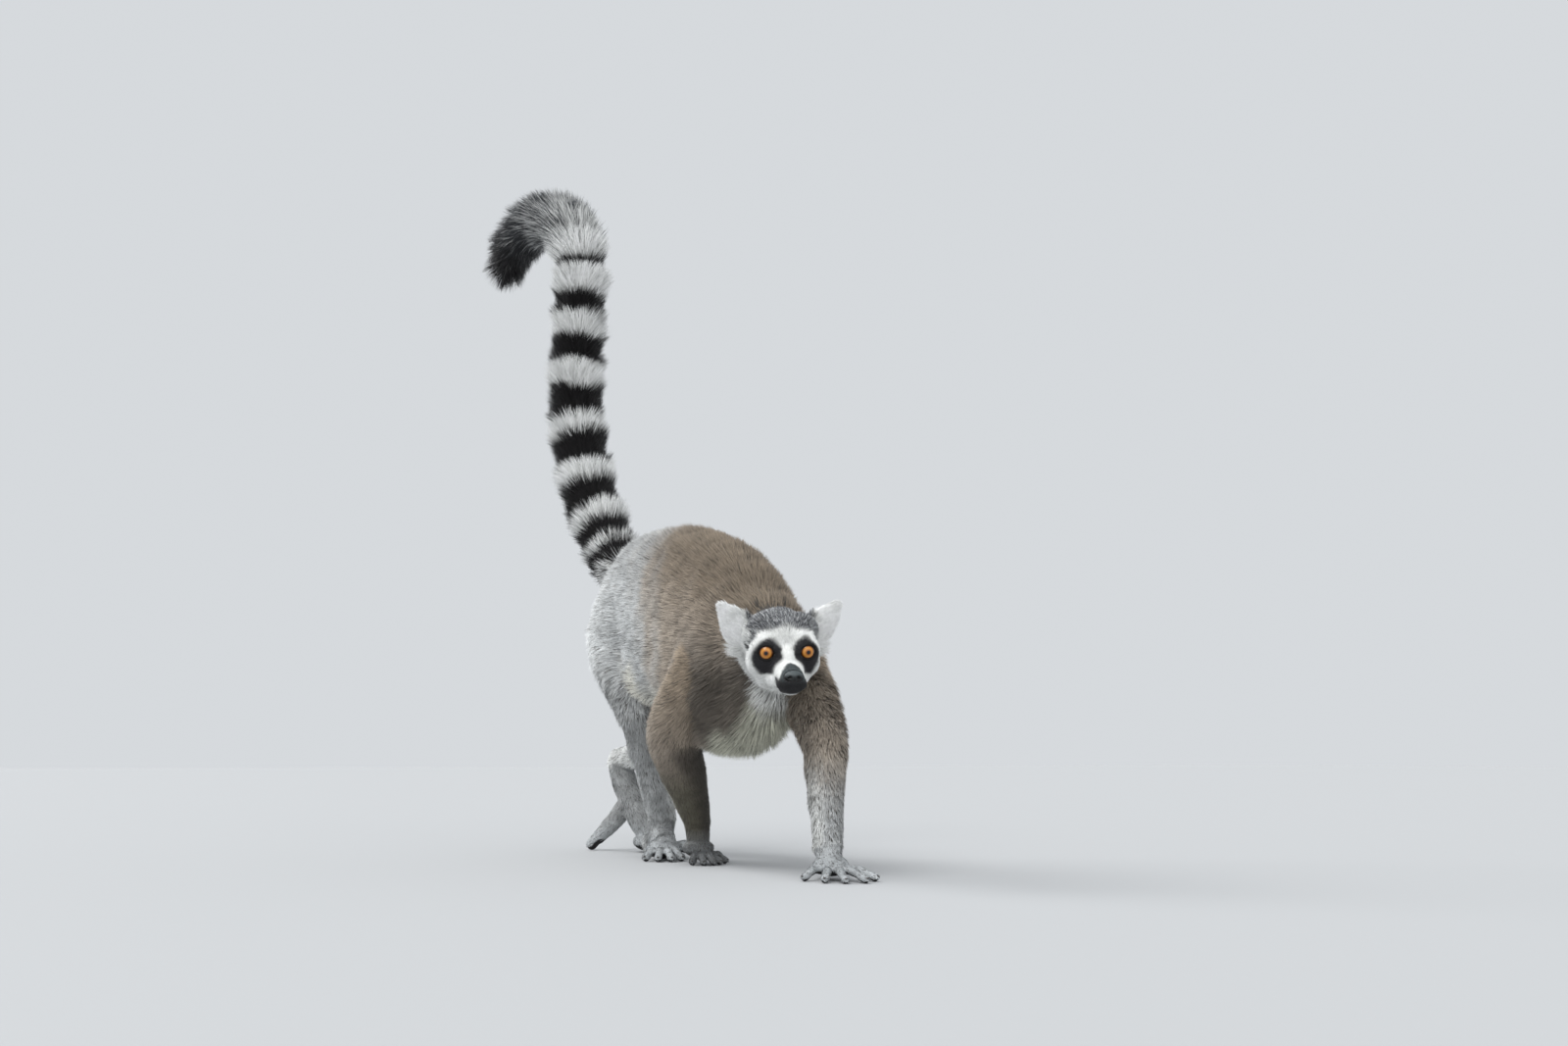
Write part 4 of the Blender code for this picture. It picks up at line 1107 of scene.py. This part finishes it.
CELLS = ("ShaderNodeTexVoronoi", "Distance", 0)  # node, outlet and detail of each grain
GRAINY = ("ShaderNodeTexNoise", "Fac", 5)
FINISHES = {  # roughness, shine, sheen, scale and strength of the tone's variation, bump
    "coat": (0.62, 0.22, 0.12, 420, 0.22, None),
    "skin": (0.58, 0.30, 0.0, 260, 0.20, (CELLS, 900, 0.0003)),
    "eye": (0.05, 0.45, 0.0, 700, 0.10, None),
    "lid": (0.62, 0.22, 0.0, 500, 0.25, (GRAINY, 1400, 0.0001)),
    "nose": (0.44, 0.38, 0.0, 600, 0.18, (CELLS, 1500, 0.00025)),
    "nail": (0.36, 0.50, 0.0, 900, 0.25, (GRAINY, 1200, 0.0001)),
}


def material(name, roughness, shine, sheen=0.0):
    made = bpy.data.materials.new(name)
    made.use_nodes = True
    shader = made.node_tree.nodes["Principled BSDF"]
    shader.inputs["Roughness"].default_value = roughness
    shader.inputs["Specular IOR Level"].default_value = shine
    shader.inputs["Sheen Weight"].default_value = sheen
    return made, shader


def textured(tree, kind, scale, detail):
    """A texture node that is laid out by places on the object."""
    place, texture = tree.nodes.new("ShaderNodeTexCoord"), tree.nodes.new(kind)
    texture.inputs["Scale"].default_value = scale
    texture.inputs["Detail"].default_value = detail
    tree.links.new(place.outputs["Object"], texture.inputs["Vector"])
    return texture


def toned(tree, shader, scale, strength):
    """The painted colour with a fine variation of its own."""
    nodes, links = tree.nodes, tree.links
    paint = nodes.new("ShaderNodeAttribute")
    paint.attribute_name = "tone"
    noise = textured(tree, "ShaderNodeTexNoise", scale, 4)
    band = nodes.new("ShaderNodeMapRange")
    band.inputs["To Min"].default_value = 1 - strength
    band.inputs["To Max"].default_value = 1 + strength
    blend = nodes.new("ShaderNodeVectorMath")
    blend.operation = "SCALE"
    links.new(noise.outputs["Fac"], band.inputs["Value"])
    links.new(paint.outputs["Color"], blend.inputs[0])
    links.new(band.outputs["Result"], blend.inputs["Scale"])
    links.new(blend.outputs["Vector"], shader.inputs["Base Color"])


def bumped(tree, shader, grain, scale, distance):
    kind, outlet, detail = grain
    bump = tree.nodes.new("ShaderNodeBump")
    bump.inputs["Distance"].default_value = distance
    bump.inputs["Strength"].default_value = 0.7
    texture = textured(tree, kind, scale, detail)
    tree.links.new(texture.outputs[outlet], bump.inputs["Height"])
    tree.links.new(bump.outputs["Normal"], shader.inputs["Normal"])


def finish(name):
    roughness, shine, sheen, scale, strength, bump = FINISHES[name]
    made, shader = material(name, roughness, shine, sheen)
    toned(made.node_tree, shader, scale, strength)
    if bump:
        bumped(made.node_tree, shader, *bump)
    return made


# ---- the whole animal ----

skin = bare_body()
points, normals, triangles = arrays(skin.data)
known = survey(points)
skin_colour = markings(points, normals, known)
# painted shade: the skin between the hairs is darkened, less under pale coat
skin_colour *= 0.50 + 0.35 * skin_colour.mean(1, keepdims=True)  # darker between the hairs
skin_colour[growth(points, normals, known)[2] == 0] = BARE_SKIN  # where no hair grows
painted(skin.data, skin_colour)
rounded(skin.data)
coat = grown_coat(points, normals, triangles, known)

looks = {name: finish(name) for name in FINISHES}
pieces = [(skin, "skin", "coat")]
for piece in coat:
    word = "coat_white" if piece.name in ("coat_ears", "coat_face") else "coat"
    pieces.append((piece, "coat", "coat_black" if "tail" in piece.name else word))
for side, word in ((1, "left"), (-1, "right")):
    eye, lids = eyeball(side, word), lid(side, word)
    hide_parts("eye_" + word)
    pieces += [(eye, "eye", "eye"), (lids, "lid", "bare_skin")]
pad, claws = nose_pad(), nails()
pieces += [(pad, "nose", "bare_skin"), (claws, "nail", "bare_skin")]
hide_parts("nose")
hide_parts(*[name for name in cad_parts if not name.startswith(("eye", "nose"))])
for piece, look, slot in pieces:
    piece.data.transform(Matrix.Translation(PLACE))
    piece.data.materials.clear()
    piece.data.materials.append(looks[look])
    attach(piece, "root")

# ---- floor, light and camera ----

FLOOR_GREY, SKY_GREY, SKY_STRENGTH = (0.440, 0.449, 0.457, 1), (0.80, 0.83, 0.86, 1), 0.84
LIGHTS = [  # where each one comes from, its spread in degrees and its strength
    ("key", (-1.2, -0.6, 2.2), 35, 1.65),
    ("rim", (-1.2, 1.9, 1.6), 25, 1.3),
    ("fill", (-0.5, -1.5, 0.55), 80, 1.25),
]
CAMERA, CAMERA_PITCH = (-0.5452, -1.2542, 0.0932), 8.68
CAMERA_WAY = (0.454, 0.891)


def studio():
    shape = bmesh.new()
    bmesh.ops.create_grid(shape, x_segments=1, y_segments=1, size=12)
    floor = settled(shape, "floor")
    made, shader = material("floor", 0.8, 0.2)
    shader.inputs["Base Color"].default_value = FLOOR_GREY
    floor.data.materials.append(made)
    world = bpy.data.worlds.new("studio")
    bpy.context.scene.world = world
    world.use_nodes = True
    sky = world.node_tree.nodes["Background"]
    sky.inputs["Color"].default_value = SKY_GREY
    sky.inputs["Strength"].default_value = SKY_STRENGTH
    for name, place, spread, power in LIGHTS:
        light = bpy.data.lights.new(name, "SUN")
        light.angle = math.radians(spread)
        light.energy = power
        lamp = mesh_object(name, light)
        lamp.rotation_euler = (-Vector(place)).to_track_quat("-Z", "Y").to_euler()


def photographer():
    lens = bpy.data.cameras.new("camera")
    lens.lens = 35
    lens.sensor_width = 36
    camera = mesh_object("camera", lens)
    camera.location = Vector(CAMERA) + Vector((PLACE.x, PLACE.y, 0))
    rise = math.tan(math.radians(CAMERA_PITCH)) * math.hypot(*CAMERA_WAY)
    camera.rotation_euler = Vector((*CAMERA_WAY, rise)).to_track_quat("-Z", "Y").to_euler()
    bpy.context.scene.camera = camera


studio()
photographer()
bpy.context.scene.view_settings.view_transform = "Standard"
